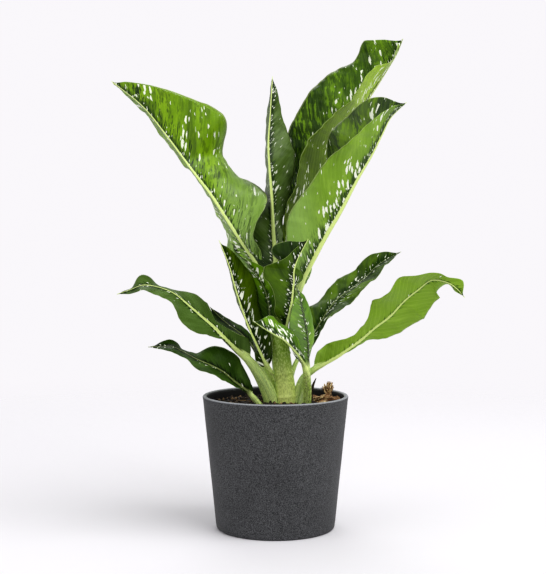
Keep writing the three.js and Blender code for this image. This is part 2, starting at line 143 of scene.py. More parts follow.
class Nodes:
    """A material under construction. Each method adds one node and returns its output."""

    def __init__(self, name):
        self.material = bpy.data.materials.new(name)
        self.material.use_nodes = True
        self.tree = self.material.node_tree
        self.tree.nodes.clear()

    def put(self, socket, value):
        if isinstance(value, bpy.types.NodeSocket):
            self.tree.links.new(value, socket)
        elif value is not None:
            socket.default_value = value

    def maths(self, operation, a, b=None):
        made = self.tree.nodes.new("ShaderNodeMath")
        made.operation = operation
        for socket, value in zip(made.inputs, (a, b)):
            self.put(socket, value)
        return made.outputs[0]

    def times(self, a, b):
        return self.maths("MULTIPLY", a, b)

    def ramp(self, value, low, high, start=0.0, end=1.0):
        """Goes smoothly from start to end as value goes from low to high."""
        made = self.tree.nodes.new("ShaderNodeMapRange")
        made.interpolation_type = "SMOOTHSTEP"
        for socket, number in zip(made.inputs, (value, low, high, start, end)):
            self.put(socket, number)
        return made.outputs[0]

    def blend(self, share, first, second):
        made = self.tree.nodes.new("ShaderNodeMix")
        made.data_type = "RGBA"
        for place, value in ((0, share), (6, first), (7, second)):
            self.put(made.inputs[place], value)
        return made.outputs[2]

    def read(self, name):
        made = self.tree.nodes.new("ShaderNodeAttribute")
        made.attribute_name = name
        return made

    def place(self):
        return self.tree.nodes.new("ShaderNodeTexCoord").outputs["Object"]

    def split(self, vector):
        made = self.tree.nodes.new("ShaderNodeSeparateXYZ")
        self.put(made.inputs[0], vector)
        return made.outputs

    def round_place(self, place):
        """How far a point lies from the upright axis, and how high."""
        x, y, height = self.split(place)
        return self.maths("SQRT", self.maths("ADD", self.times(x, x), self.times(y, y))), height

    def stretch(self, vector, scale, shift=(0, 0, 0)):
        made = self.tree.nodes.new("ShaderNodeMapping")
        self.put(made.inputs["Vector"], vector)
        self.put(made.inputs["Location"], shift)
        self.put(made.inputs["Scale"], scale)
        return made.outputs[0]

    def cloud(self, vector, scale=1.0, detail=2.0, rough=0.5):
        made = self.tree.nodes.new("ShaderNodeTexNoise")
        self.put(made.inputs["Vector"], vector)
        self.put(made.inputs["Scale"], scale)
        self.put(made.inputs["Detail"], detail)
        self.put(made.inputs["Roughness"], rough)
        return made.outputs[0]

    def cells(self, vector, scale=1.0):
        made = self.tree.nodes.new("ShaderNodeTexVoronoi")
        self.put(made.inputs["Vector"], vector)
        self.put(made.inputs["Scale"], scale)
        return made.outputs["Distance"], made.outputs["Color"]

    def bump(self, height, strength, distance):
        made = self.tree.nodes.new("ShaderNodeBump")
        self.put(made.inputs["Height"], height)
        self.put(made.inputs["Strength"], strength)
        self.put(made.inputs["Distance"], distance)
        return made.outputs[0]

    def surface(self, base, roughness, normal=None, **sockets):
        shader = self.tree.nodes.new("ShaderNodeBsdfPrincipled")
        self.put(shader.inputs["Base Color"], base)
        self.put(shader.inputs["Roughness"], roughness)
        self.put(shader.inputs["Normal"], normal)
        for name, value in sockets.items():
            self.put(shader.inputs[name.replace("_", " ")], value)
        out = self.tree.nodes.new("ShaderNodeOutputMaterial")
        self.tree.links.new(shader.outputs[0], out.inputs["Surface"])
        return self.material


def pot_finish():
    """Fine light and dark grains in a charcoal ground, over a slow mottle."""
    made = Nodes("speckled_charcoal")
    place = made.place()
    grains = made.cloud(place, scale=1150, detail=2, rough=0.7)
    mottle = made.cloud(place, scale=26, detail=1)
    distance, chance = made.cells(place, scale=620)
    pale_grain = made.times(made.ramp(distance, 0.34, 0.16), made.ramp(made.split(chance)[0], 0.72, 0.8))
    ground = made.blend(made.ramp(grains, 0.36, 0.66), colour(*POT_DARK), colour(*POT_PALE))
    ground = made.blend(0.35, ground, colour(*POT_GREY))
    ground = made.blend(made.times(made.ramp(mottle, 0.4, 0.7), 0.16), ground, colour(*POT_DARK))
    ground = made.blend(made.times(pale_grain, 0.5), ground, colour(*POT_PALE))
    # The inner wall is darkened below the lip with painted shade and some soil stain. The wall's slope is
    # taken off, so one radius does.
    out, height = made.round_place(place)
    out = made.maths("SUBTRACT", out, made.times(height, wall_slope))
    inner_shade_and_stain = made.ramp(out, POT_FOOT_RADIUS - 0.8 * POT_WALL, POT_FOOT_RADIUS - 0.5 * POT_WALL, 1, 0)
    lip_foot = pot_height - POT_LIP_ROUND
    inner_shade_and_stain = made.times(inner_shade_and_stain, made.ramp(height, lip_foot - POT_LIP_ROUND, lip_foot, 0.9, 0))
    # The lip is painted paler: some wear, and a painted highlight along its top.
    lip_wear_and_highlight = made.ramp(height, pot_height - 0.9 * POT_LIP_ROUND, pot_height - 0.2 * POT_LIP_ROUND)
    lip_wear_and_highlight = made.times(lip_wear_and_highlight, made.ramp(grains, 0.25, 0.6, 0.45, 0.9))
    ground = made.blend(lip_wear_and_highlight, ground, colour(*LIP_WEAR_AND_HIGHLIGHT))
    ground = made.blend(inner_shade_and_stain, ground, colour(*POT_INNER_SHADE_AND_STAIN))
    roughness = made.ramp(grains, 0.3, 0.7, 0.5, 0.72)
    normal = made.bump(grains, 0.45, 0.00025)
    return made.surface(ground, roughness, normal, Specular_IOR_Level=0.3)


wall_lean = math.degrees(math.atan(wall_slope))


def wall_radius(height):
    return POT_FOOT_RADIUS + wall_slope * height


pot_profile = [(radius, 0) for radius in POT_BASE_RINGS]
pot_profile += arc((POT_FOOT_RADIUS - POT_FOOT_ROUND, POT_FOOT_ROUND), POT_FOOT_ROUND, -90, -wall_lean, 8)
pot_profile += straight((wall_radius(POT_FOOT_ROUND), POT_FOOT_ROUND),
                        (wall_radius(pot_height - POT_LIP_ROUND), pot_height - POT_LIP_ROUND), 40)
pot_profile += arc((rim_radius - POT_LIP_ROUND, pot_height - POT_LIP_ROUND), POT_LIP_ROUND, -wall_lean, 90, 7)
pot_profile += arc((rim_radius - POT_WALL + POT_LIP_ROUND, pot_height - POT_LIP_ROUND),
                   POT_LIP_ROUND, 90, 180 - wall_lean, 7)
pot_profile += straight((rim_radius - POT_WALL, pot_height - POT_LIP_ROUND),
                        (wall_radius(POT_FLOOR) - POT_WALL, POT_FLOOR), 20)
pot_profile += [(wall_radius(POT_FLOOR) - POT_WALL, POT_FLOOR), (0, POT_FLOOR)]
pot_points, pot_faces = turned(pot_profile, POT_TURNS)
for point in pot_points:
    out = Vector((point[0], point[1], 0))
    if out.length > POT_WAVER_FROM and point[2] > POT_FOOT_ROUND:
        waver = POT_WAVER * noise.noise(Vector(point) * POT_WAVER_SCALE)
        point[:2] *= 1 + waver / out.length - POT_WAVER / out.length
pot_piece = build("pot_shell", pot_points, pot_faces, ["pot"])
pot_piece.data.materials.append(pot_finish())


# ---------------------------------------------------------------- soil
#
# Dark potting soil, heaped a little towards the cane and left loose: crumbs of peat of all sizes lie
# on it, with threads of coir and chips of composted bark among them.

SOIL_GAP = 0.0003
SOIL_TURNS = 150
SOIL_RINGS = 46
SOIL_ROUGHNESS = 0.0016
SOIL_DARK = (18, 13, 10)
SOIL_MID = (52, 40, 31)
SOIL_LIGHT = (176, 142, 104)
SOIL_BELOW_RIM = 0.009
CRUMBS = 900
CRUMB_SIZES = (0.0005, 0.0021)
CRUMB_SPREAD = 0.97
THREADS = 90
THREAD_RADIUS = 0.00028
THREAD_LENGTHS = (0.004, 0.012)
THREAD_BEND = 1.2
THREAD_POINTS = 6
THREAD_SIDES = 5
THREAD_SPREAD = 0.88

soil_low, soil_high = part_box("soil")
soil_radius = max(soil_high.x, soil_high.y)
soil_edge = pot_height - SOIL_BELOW_RIM


def soil_height(x, y):
    """The top of the soil: a low mound with lumps of several sizes."""
    out = min(math.hypot(x, y) / soil_radius, 1)
    mound = soil_edge + (soil_high.z - soil_edge) * (1 - out * out)
    spot = Vector((x, y, 0.3))
    lumps = noise.noise(spot * 90) + 0.6 * noise.noise(spot * 230) + 0.4 * noise.noise(spot * 600)
    return mound + SOIL_ROUGHNESS * lumps


def earth_finish():
    """Browns that change from crumb to crumb, and dull, damp grain."""
    made = Nodes("potting_soil")
    place = made.place()
    own = made.read("crumb").outputs["Fac"]
    grain = made.cloud(place, scale=420, detail=5, rough=0.7)
    shade = made.blend(made.ramp(grain, 0.38, 0.62), colour(*SOIL_DARK), colour(*SOIL_MID))
    shade = made.blend(made.ramp(own, 0.78, 1.0), shade, colour(*SOIL_LIGHT))
    return made.surface(shade, made.ramp(grain, 0.3, 0.7, 0.75, 0.95), made.bump(grain, 0.8, 0.0008))


soil_foot_radius = wall_radius(soil_low.z) - POT_WALL - SOIL_GAP
soil_profile = [(radius, soil_low.z) for radius in (0, soil_radius * 0.5, soil_foot_radius)]
soil_profile += straight(soil_profile[-1], (soil_radius, soil_edge), 5)
soil_profile += [(soil_radius * (1 - ring / SOIL_RINGS), soil_edge) for ring in range(SOIL_RINGS)]
soil_profile += [(0, soil_edge)]
soil_points, soil_faces = turned(soil_profile, SOIL_TURNS)
for point in soil_points:
    if point[2] >= soil_edge - 1e-6:
        point[2] = soil_height(point[0], point[1])
earth = earth_finish()
soil_piece = build("soil_bed", soil_points, soil_faces, ["soil"])
record_on(soil_piece, "crumb", np.full(len(soil_points), 0.3))
soil_piece.data.materials.append(earth)


def lump(centre, size, chance):
    """A rough crumb: a ball of 42 points pushed in and out, and flattened a little."""
    ball = bmesh.new()
    bmesh.ops.create_icosphere(ball, subdivisions=2, radius=1)
    spin = Vector(chance.uniform(-1, 1, 3)) * 9
    squash = chance.uniform(0.55, 1.0, 3)
    points = []
    for corner in ball.verts:
        push = 1 + 0.55 * noise.noise(corner.co * 1.7 + spin)
        points.append(np.array(corner.co) * push * squash * size + centre)
    faces = [[corner.index for corner in face.verts] for face in ball.faces]
    ball.free()
    return points, faces


def strand(path, radii, sides):
    """A thin round thread through a list of points, closed at both ends."""
    path = np.asarray(path, float)
    along = np.gradient(path, axis=0)
    along /= np.linalg.norm(along, axis=1)[:, None]
    first = np.cross(along, (0.31, 0.17, 0.93))
    first /= np.linalg.norm(first, axis=1)[:, None]
    second = np.cross(along, first)
    turns = np.linspace(0, 2 * math.pi, sides, endpoint=False)
    points = []
    for centre, radius, a, b in zip(path, radii, first, second):
        points += [centre + radius * (a * math.cos(turn) + b * math.sin(turn)) for turn in turns]
    faces = between_rings(len(path), sides, turned_over=True)
    last = (len(path) - 1) * sides
    faces.append(tuple(range(sides)))
    faces.append(tuple(reversed(range(last, last + sides))))
    return points, faces


def gathered(parts):
    """Several closed shapes as the points and faces of one mesh."""
    points, faces = [], []
    for some_points, some_faces in parts:
        start = len(points)
        points += list(some_points)
        faces += [[start + corner for corner in face] for face in some_faces]
    return points, faces


chance = np.random.default_rng(11)
crumbs, crumb_tones = [], []
for _ in range(CRUMBS):
    out = soil_radius * CRUMB_SPREAD * math.sqrt(chance.uniform(0.02, 1))
    turn = chance.uniform(0, 2 * math.pi)
    size = CRUMB_SIZES[0] + (CRUMB_SIZES[1] - CRUMB_SIZES[0]) * chance.uniform() ** 2.5
    x, y = out * math.cos(turn), out * math.sin(turn)
    if math.hypot(x, y) + size * 1.3 > soil_radius:
        continue
    crumbs.append(lump((x, y, soil_height(x, y) + size * 0.35), size, chance))
    crumb_tones += [chance.uniform()] * len(crumbs[-1][0])
for _ in range(THREADS):
    out = soil_radius * THREAD_SPREAD * math.sqrt(chance.uniform(0.02, 1))
    turn, heading = chance.uniform(0, 2 * math.pi, 2)
    length = chance.uniform(*THREAD_LENGTHS)
    sway = chance.uniform(-THREAD_BEND, THREAD_BEND)
    path = []
    for part in np.linspace(-0.5, 0.5, THREAD_POINTS):
        x = out * math.cos(turn) + length * part * math.cos(heading + sway * part)
        y = out * math.sin(turn) + length * part * math.sin(heading + sway * part)
        path.append((x, y, soil_height(x, y) + 0.0006 + 0.0012 * chance.uniform()))
    if max(math.hypot(x, y) for x, y, _ in path) < soil_radius - 0.001:
        crumbs.append(strand(path, [THREAD_RADIUS] * THREAD_POINTS, THREAD_SIDES))
        crumb_tones += [chance.uniform(0.7, 1)] * len(crumbs[-1][0])
crumb_points, crumb_faces = gathered(crumbs)
crumb_piece = build("soil_crumbs", crumb_points, crumb_faces)
record_on(crumb_piece, "crumb", crumb_tones)
crumb_piece.data.materials.append(earth)


# ---------------------------------------------------------------- cane
#
# The plant's one stem: a thick green cane, ringed where old leaves have dropped and ridged by the
# sheaths that still clasp it. It is freckled with pale green, and it pales towards its foot.

MM = 0.001
CANE = [[9, 3, 78, 7.0], [10, 2, 100, 8.5], [11, 0, 121, 10.0], [9, 0, 138, 9.6],
        [6, 0, 158, 9.4], [4, 0, 178, 8.8], [3, 1, 196, 7.6], [3, 2, 210, 5.4]]
CANE_SIDES = 64
CANE_STEP = 0.0012
CANE_RIDGES = [(-2.0, 0.0009, 0.30), (-0.9, 0.0007, 0.22), (0.5, 0.0008, 0.26), (2.4, 0.0008, 0.3)]
CANE_RINGS = [104, 127, 149, 168, 186]
CANE_RING_HEIGHT = 0.0007
CANE_RING_WIDTH = 0.0011
CANE_GRAIN = 0.0002
CANE_GRAIN_SCALE = 260
CANE_DOME = 0.002
CANE_GREENS = {"light": (206, 224, 136), "mid": (124, 156, 36), "dark": (62, 92, 10), "foot": (238, 252, 150)}
AWAY = np.array([0.0, 1.0, 0.0])


def spline(rows, share):
    """A smooth line through the rows, at each share of the way from 0 to 1."""
    rows = np.asarray(rows, float)
    held = np.vstack([2 * rows[0] - rows[1], rows, 2 * rows[-1] - rows[-2]])
    spot = np.clip(share, 0, 1) * (len(rows) - 1)
    row = np.minimum(spot.astype(int), len(rows) - 2)
    t = (spot - row)[:, None]
    a, b, c, d = (held[row + step] for step in range(4))
    return 0.5 * (2 * b + (c - a) * t + (2 * a - 5 * b + 4 * c - d) * t**2 + (3 * b - a - 3 * c + d) * t**3)


def evenly(rows, step):
    """Shares of the way along a line that lie about one step apart, and how far along each is."""
    fine = np.linspace(0, 1, 2000)
    line = spline(rows, fine)
    run = np.concatenate([[0], np.cumsum(np.linalg.norm(np.diff(line, axis=0), axis=1))])
    count = max(int(run[-1] / step), 8)
    lengths = np.linspace(0, run[-1], count + 1)
    return np.interp(lengths, run, fine), lengths


def axes_along(rows, share):
    """Where a line is at each share, and which way along, to its right and to its front are."""
    small = 0.002
    along = spline(rows, share + small) - spline(rows, share - small)
    along /= np.linalg.norm(along, axis=1)[:, None]
    side = np.cross(AWAY, along)
    side /= np.linalg.norm(side, axis=1)[:, None]
    return spline(rows, share), along, side, np.cross(side, along)


def rise(low, high, value):
    """Goes smoothly from 0 to 1 as value goes from low to high."""
    part = np.clip((np.asarray(value, float) - low) / (high - low), 0, 1)
    return part * part * (3 - 2 * part)


def cane_finish():
    """Greens streaked up the cane, with pale freckles that crowd and run together towards its foot."""
    made = Nodes("freckled_cane")
    place = made.place()
    freckles = made.cloud(made.stretch(place, (1, 1, 0.55)), scale=820, detail=3, rough=0.6)
    streaks = made.cloud(made.stretch(place, (1, 1, 0.12)), scale=300, detail=2)
    broad = made.cloud(made.stretch(place, (1, 1, 0.5)), scale=70, detail=2)
    z = made.split(place)[2]
    greens = {shade: colour(*value) for shade, value in CANE_GREENS.items()}
    ground = made.blend(made.ramp(streaks, 0.36, 0.64), greens["dark"], greens["mid"])
    ground = made.blend(made.ramp(broad, 0.4, 0.66), ground, greens["mid"])
    few = made.times(made.ramp(freckles, 0.49, 0.58), made.ramp(z, 0.13, 0.165, 0.9, 0.45))
    ground = made.blend(few, ground, greens["light"])
    foot = made.times(made.ramp(z, 0.172, 0.124), made.ramp(freckles, 0.3, 0.6, 0.6, 1.0))
    ground = made.blend(foot, ground, greens["foot"])
    return made.surface(ground, made.ramp(freckles, 0.3, 0.7, 0.36, 0.5), made.bump(freckles, 0.3, 0.0003))


cane_rows = np.array(CANE) * MM
cane_share, _ = evenly(cane_rows[:, :3], CANE_STEP)
cane_centre, cane_along, cane_side, cane_front = axes_along(cane_rows[:, :3], cane_share)
cane_radius = spline(cane_rows[:, 3:], cane_share)[:, 0]
for ring in CANE_RINGS:
    cane_radius += CANE_RING_HEIGHT * np.exp(-((cane_centre[:, 2] - ring * MM) / CANE_RING_WIDTH) ** 2)
cane_turns = np.linspace(-math.pi, math.pi, CANE_SIDES, endpoint=False)
cane_points = []
for centre, side, front, radius in zip(cane_centre, cane_side, cane_front, cane_radius):
    for turn in cane_turns:
        reach = radius
        for where, height, width in CANE_RIDGES:
            gap = abs((turn - where + math.pi) % (2 * math.pi) - math.pi)
            reach += height * math.exp(-(gap / width) ** 2)
        direction = side * math.cos(turn) + front * math.sin(turn)
        spot = centre + direction * reach
        cane_points.append(spot + direction * CANE_GRAIN * noise.noise(Vector(spot) * CANE_GRAIN_SCALE))
cane_faces = between_rings(len(cane_centre), CANE_SIDES, turned_over=True)
cane_last = (len(cane_centre) - 1) * CANE_SIDES
cane_points += [cane_centre[0], cane_centre[-1] + cane_along[-1] * CANE_DOME]
for turn in range(CANE_SIDES):
    after = (turn + 1) % CANE_SIDES
    cane_faces.append((len(cane_points) - 2, turn, after))
    cane_faces.append((len(cane_points) - 1, cane_last + after, cane_last + turn))
cane_piece = build("cane_stem", cane_points, cane_faces, ["cane"])
cane_piece.data.materials.append(cane_finish())


# ---------------------------------------------------------------- leaves
#
# Fourteen leaves, each grown in one: a fleshy stalk that runs on as a pale rib, and a thin blade whose
# two halves fold and curl on their own. They are green with cream flecks along the side veins.
#
# stalk rows: x, y, z and radius, and rib rows: x, y, z, in millimetres. left and right rows: the half
# width, how many degrees it leans to the front at the rib, and how much further it turns by the margin.
# front and back are the paints of the two sides, and front_is says which side of the leaf is in front.
# flecks: how many fine and how many large ones there are, from 0 to 1, and from where to where the large
# ones lie beside the rib, in millimetres. blotch: how blotched the front and the back are. zone: how wide
# the dark band beside the rib is. rib_shade: how strongly the rib's pale paint shows. near_base: the
# shade that the green takes on towards its base, and up to how far along; where that shade is the pale
# one, it is a painted sheen. veins and gloss: how much the side veins show and the skin shines. ruffle:
# how far the margins wave, in millimetres.

LEAVES = {
    "leaf_upper_left": {
        "stalk": [[0, 5, 206, 3.4], [-8, 5, 232, 3]],
        "rib": [[-18, 5, 253], [-30, 8, 271], [-41, 11, 287], [-61, 16, 318], [-73, 18, 334],
            [-83, 19, 347], [-94, 21, 362], [-106, 23, 378], [-129, 27, 406], [-160, 32, 431]],
        "left": [[14, -10, 0], [24, -25, 0], [31, -70, 0], [40, -82, 0], [44, -86, 0], [46, -86, 0],
            [46, -84, 0], [46, -83, 0], [28, -82, 0], [1, -80, 0]],
        "right": [[6, 10, 0], [22, 44, 20], [42, 8, 20], [47, -5, -70], [46, 5, -105],
            [47, -24, -30], [56, 4, -20], [50, 4, -20], [25, 8, -10], [1, 0, 0]],
        "rib_radius": 2.4, "front": "lime", "back": "deep", "stem": "pale", "front_is": "under",
        "flecks": (0.9, 0.8, 6, 46), "blotch": (0.5, 0.3), "zone": 5, "rib_shade": 1,
        "near_base": ("pale", 150), "veins": 0.3, "gloss": 0.35, "ruffle": 1.3,
    },
    "leaf_centre_spear": {
        "stalk": [[3, 2, 214, 3.6], [2, 2, 236, 3.2]],
        "rib": [[0, 2, 257], [-2, 4, 288], [-4, 8, 321], [-6, 11, 346], [-7, 13, 370], [-5, 16, 400],
            [-3, 18, 434]],
        "left": [[20, -10, 0], [23, -25, 0], [26, -72, 0], [30, -83, 0], [28, -84, 0], [16, -79, 0],
            [1, -80, 0]],
        "right": [[5, -20, 0], [16, -57, 0], [27, -41, -20], [30, -30, -10], [28, -28, -10],
            [16, -44, 0], [1, -30, 0]],
        # Its front paint is painted shade: a darker green than the other leaves' undersides.
        "rib_radius": 2.6, "front": "sage", "back": "deep", "stem": "pale", "front_is": "under",
        "flecks": (1.1, 0.6, 2, 12), "blotch": (0.25, 0.2), "zone": 7, "rib_shade": 1,
        "near_base": ("dark", 60), "veins": 0.3, "gloss": 0.45, "ruffle": 1,
    },
    "leaf_top_right": {
        "stalk": [[6, 7, 208, 3.4], [9, 12, 240, 3.2]],
        "rib": [[12, 18, 271], [29, 30, 310], [44, 39, 335], [59, 48, 360], [81, 60, 399],
            [100, 68, 428], [111, 73, 445], [122, 77, 463], [126, 79, 472], [129, 80, 479]],
        "left": [[5, 20, 0], [30, 55, 0], [44, 49, 0], [48, 56, 0], [44.5, 73, 0], [37, 68, 0],
            [26, 85, 0], [12, 80, 0], [6, 60, 0], [1, 80, 0]],
        "right": [[5, -100, 0], [32, -134, 0], [48, -143, 0], [55, -160, 0], [56, -162, 0],
            [50, -152, 0], [39, -149, 0], [36, -164, 0], [24, -172, 0], [1, -170, 0]],
        "rib_radius": 2.4, "front": "sunlit", "back": "mottled", "stem": "pale", "front_is": "under",
        "flecks": (0.5, 1.1, 2, 34), "blotch": (0.1, 0.9), "zone": 5, "rib_shade": 0.7,
        "near_base": ("dark", 250), "veins": 0.2, "gloss": 0.2, "ruffle": 1.6,
    },
    "leaf_upper_right": {
        "stalk": [[9, -5, 204, 3.6], [20, -9, 224, 3.4]],
        "rib": [[27, -11, 240], [45, -15, 276], [61, -18, 304], [76, -20, 333], [89, -21, 355],
            [99, -22, 375], [107.5, -22, 391], [122, -23, 405]],
        "left": [[14, 5, 0], [39, 9, 0], [42, 24, 0], [42, 36, 0], [40, 51, 0], [32, 57, 0],
            [20, 65, 0], [1, 70, 0]],
        "right": [[8, -60, 0], [30, -125, 0], [40, -143, 0], [45, -136, 0], [46, -165, 0],
            [42, -152, 0], [31, -157, 0], [1, -155, 0]],
        "rib_radius": 2.8, "front": "fresh", "back": "marbled", "stem": "pale", "front_is": "under",
        "flecks": (1, 2, 2, 24), "blotch": (0.1, 1.2), "zone": 10, "rib_shade": 1,
        "near_base": ("pale", 100), "veins": 0.3, "gloss": 0.3, "ruffle": 1,
    },
    "leaf_centre_front": {
        "stalk": [[5, -4, 182, 2.4], [9, -12, 189, 2.2]],
        "rib": [[11, -17, 197], [13, -21, 209], [15, -26, 219], [16, -31, 229], [17, -35, 239],
            [17, -39, 248], [20, -42, 259], [30, -46, 278]],
        "left": [[5, -20, 0], [15, 20, 0], [17, 28, 0], [19, 20, 0], [25, 5, 0], [28, 0, 0],
            [12, 35, 0], [1, 0, 0]],
        "right": [[4, -70, 0], [12, -78, 0], [14, -80, 0], [15, -78, 0], [14, -50, 0], [20, -120, 0],
            [27, -160, 0], [1, -150, 0]],
        "rib_radius": 1.8, "front": "olive", "back": "deep", "stem": "pale", "front_is": "under",
        "flecks": (1.2, 0.4, 2, 10), "blotch": (0.2, 0.3), "zone": 8, "rib_shade": 1,
        "near_base": ("dark", 20), "veins": 0.2, "gloss": 0.2, "ruffle": 0.7,
    },
    "leaf_front_arch": {
        "stalk": [[29, -8, 112, 4.2], [30, -11, 124, 4.2], [30, -17, 140, 3.8], [29, -23, 152, 3.3]],
        "rib": [[25, -28, 163], [18, -34, 173], [8, -40, 184], [0, -44, 189], [-8, -47, 194],
            [-21, -52, 203]],
        "left": [[4, -45, 0], [10, -84, 0], [16, -90, 0], [18, -91, 0], [16, -85, 0], [1, -88, 0]],
        "right": [[6, -55, 0], [14, -50, 0], [17, -52, 0], [19, -52, 0], [17, -40, 0], [2, -20, 0]],
        "rib_radius": 1.8, "front": "grass", "back": "grass", "stem": "speckled", "front_is": "under",
        "flecks": (1.2, 2.2, 0.5, 15), "blotch": (0.3, 0.3), "zone": 10, "rib_shade": 0.6,
        "near_base": ("dark", 40), "veins": 0.2, "gloss": 0.25, "ruffle": 0.6,
    },
    "leaf_side_shoot": {
        "stalk": [[22, -9, 112, 3], [25, -10, 124, 3.4], [29, -11, 138, 2.4], [31, -12, 151, 2]],
        "rib": [[31, -11, 163], [31, -14, 178], [29, -17, 194], [26, -20, 208], [23, -23, 222],
            [20, -26, 233]],
        "left": [[9, 10, 0], [15, 0, 20], [17, 5, 20], [14, 11, 20], [7, 24, 0], [1, 20, 0]],
        "right": [[2, -60, 0], [7, -14, -60], [10, -11, -60], [9, -6, -60], [6, -37, 0],
            [1, -20, 0]],
        "rib_radius": 1.4, "front": "grass", "back": "grass", "stem": "pale", "front_is": "under",
        "flecks": (0.5, 0.5, 2, 9), "blotch": (0.2, 0.2), "zone": 1.5, "rib_shade": 0.05,
        "near_base": ("bright", 30), "veins": 0.2, "gloss": 0.9, "ruffle": 0.6,
    },
    "leaf_mid_left": {
        "stalk": [[-1, -5, 143, 2.8], [-5, -9, 152, 2.4]],
        "rib": [[-11, -13, 163], [-19, -18, 180], [-25, -22, 194], [-32, -28, 214], [-38, -34, 234],
            [-43, -39, 253], [-52, -47, 277]],
        "left": [[9, -25, 0], [10, -80, 0], [15, -83, 0], [20, -82, 0], [20, -82, 0], [13, -85, 0],
            [1, -80, 0]],
        "right": [[9, -4, 0], [18, -25, 0], [18, -35, 0], [22, -39, 0], [24, -38, 0], [16, -50, 0],
            [1, -40, 0]],
        "rib_radius": 1.6, "front": "fern", "back": "deep", "stem": "speckled", "front_is": "under",
        "flecks": (1, 1.2, 2, 15), "blotch": (0.2, 0.2), "zone": 9, "rib_shade": 1,
        "near_base": ("dark", 90), "veins": 0.2, "gloss": 0.12, "ruffle": 0.8,
    },
    "leaf_mid_left_inner": {
        "stalk": [[0, -5, 186, 1.8], [-3, -11, 194, 1.6]],
        "rib": [[-5, -14, 203], [-7, -18, 220], [-13, -24, 237], [-23, -30, 252], [-34, -36, 266],
            [-41, -40, 276]],
        "left": [[10, -30, 0], [14, -35, 0], [14, -52, 0], [11, -72, 0], [7, -62, 0], [1, -60, 0]],
        "right": [[4, 24, 0], [10, 37, 0], [12, 38, 0], [12, 50, 0], [3, 99, 0], [1, 60, 0]],
        "rib_radius": 1.2, "front": "grass", "back": "grass", "stem": "pale", "front_is": "under",
        "flecks": (0.7, 0.9, 2, 10), "blotch": (0.2, 0.3), "zone": 4, "rib_shade": 0.15,
        "near_base": ("dark", 50), "veins": 0.2, "gloss": 0.15, "ruffle": 0.7,
    },
    "leaf_low_left": {
        "stalk": [[-3, -1, 116, 8], [-5, -2, 127, 7.6], [-14, -7, 146, 6], [-25, -12, 162, 4.2]],
        "rib": [[-36, -17, 172], [-46, -21, 182], [-59, -26, 196], [-70, -30, 206], [-82, -33, 217],
            [-94, -36, 227], [-108, -39, 233], [-122, -42, 235], [-134, -44, 231], [-146, -46, 227]],
        "left": [[4, 10, 0], [2, 40, 0], [13, 52, 0], [23, 52, 0], [24, 58, 0], [20, 69, 0],
            [17, 68, 0], [14, 71, 0], [8, 61, 0], [1, 60, 0]],
        "right": [[16, -10, 0], [11, -14, 0], [9, -50, 0], [22, -58, 0], [23, -66, 0], [16, -85, 0],
            [15, -83, 0], [15, -52, 0], [8, -84, 0], [1, -60, 0]],
        "rib_radius": 2.6, "front": "slate", "back": "fresh", "stem": "pale", "front_is": "top",
        "flecks": (0.3, 0.12, 3, 12), "blotch": (0.1, 0.1), "zone": 4, "rib_shade": 0.8,
        "near_base": ("dark", 30), "veins": 0.25, "gloss": 0.06, "ruffle": 0.9,
    },
    "leaf_back_left": {
        "stalk": [[1, 6, 134, 2.6], [-12, 14, 154, 2.2]],
        "rib": [[-19, 22, 166], [-26, 30, 176], [-35, 38, 184], [-47, 47, 192], [-57, 54, 200],
            [-66, 60, 209]],
        "left": [[3, 80, 0], [8, 95, 0], [13, 77, 0], [15, 72, 0], [11, 60, 0], [1, 60, 0]],
        "right": [[5, -10, 0], [9, -63, 0], [13, -65, 0], [15, -69, 0], [11, -76, 0], [1, -60, 0]],
        "rib_radius": 1.4, "front": "deep", "back": "deep", "stem": "pale", "front_is": "top",
        "flecks": (0.06, 0.03, 3, 12), "blotch": (0.1, 0.1), "zone": 9, "rib_shade": 0.25,
        "near_base": ("dark", 60), "veins": 0.2, "gloss": 0.02, "ruffle": 0.7,
    },
    "leaf_bottom_left": {
        "stalk": [[-10, -10, 114, 3], [-15, -11, 119.5, 3], [-21, -12.5, 127, 2.8]],
        "rib": [[-28, -14, 134], [-40, -20, 144], [-50, -25, 153], [-62, -30, 160], [-74, -34, 166],
            [-86, -37, 173], [-97, -39, 178], [-118, -42, 178]],
        "left": [[3, 67, 0], [9, 78, 0], [18, 76, 0], [21, 80, 0], [20, 73, 0], [13, 79, 0],
            [11, 72, 0], [1, 60, 0]],
        "right": [[8, -12, 0], [20, -35, 0], [24, -36, 0], [23, -48, 0], [14, -78, 0], [13, -85, 0],
            [11, -62, 0], [1, -60, 0]],
        "rib_radius": 1.8, "front": "deep", "back": "moss", "stem": "pale", "front_is": "top",
        "flecks": (0.35, 0.04, 3, 12), "blotch": (0.1, 0.1), "zone": 5, "rib_shade": 0.25,
        "near_base": ("dark", 30), "veins": 0.25, "gloss": 0.06, "ruffle": 1,
    },
    "leaf_back_right": {
        "stalk": [[11, 5, 126, 3.2], [14, 8, 141, 2.8], [19, 12, 156, 2.2]],
        "rib": [[28, 19, 171], [37, 26, 183], [47, 34, 199], [60, 43, 216], [78, 52, 229],
            [92, 58, 240], [105, 64, 252], [127, 70, 264]],
        "left": [[5, -30, 0], [16, -26, 0], [22, -34, 0], [22, -60, 0], [23, -50, 0], [18, -50, 0],
            [16, -38, 0], [1, -40, 0]],
        "right": [[7, 34, 0], [9, 64, 0], [14, 71, 0], [20, 57, 0], [20, 75, 0], [18, 68, 0],
            [13, 74, 0], [1, 60, 0]],
        "rib_radius": 1.6, "front": "marbled", "back": "marbled", "stem": "pale", "front_is": "top",
        "flecks": (0.95, 0.2, 2, 12), "blotch": (0.1, 0.1), "zone": 8, "rib_shade": 0.2,
        "near_base": ("dark", 90), "veins": 0.2, "gloss": 0.06, "ruffle": 1.2,
    },
    "leaf_low_right": {
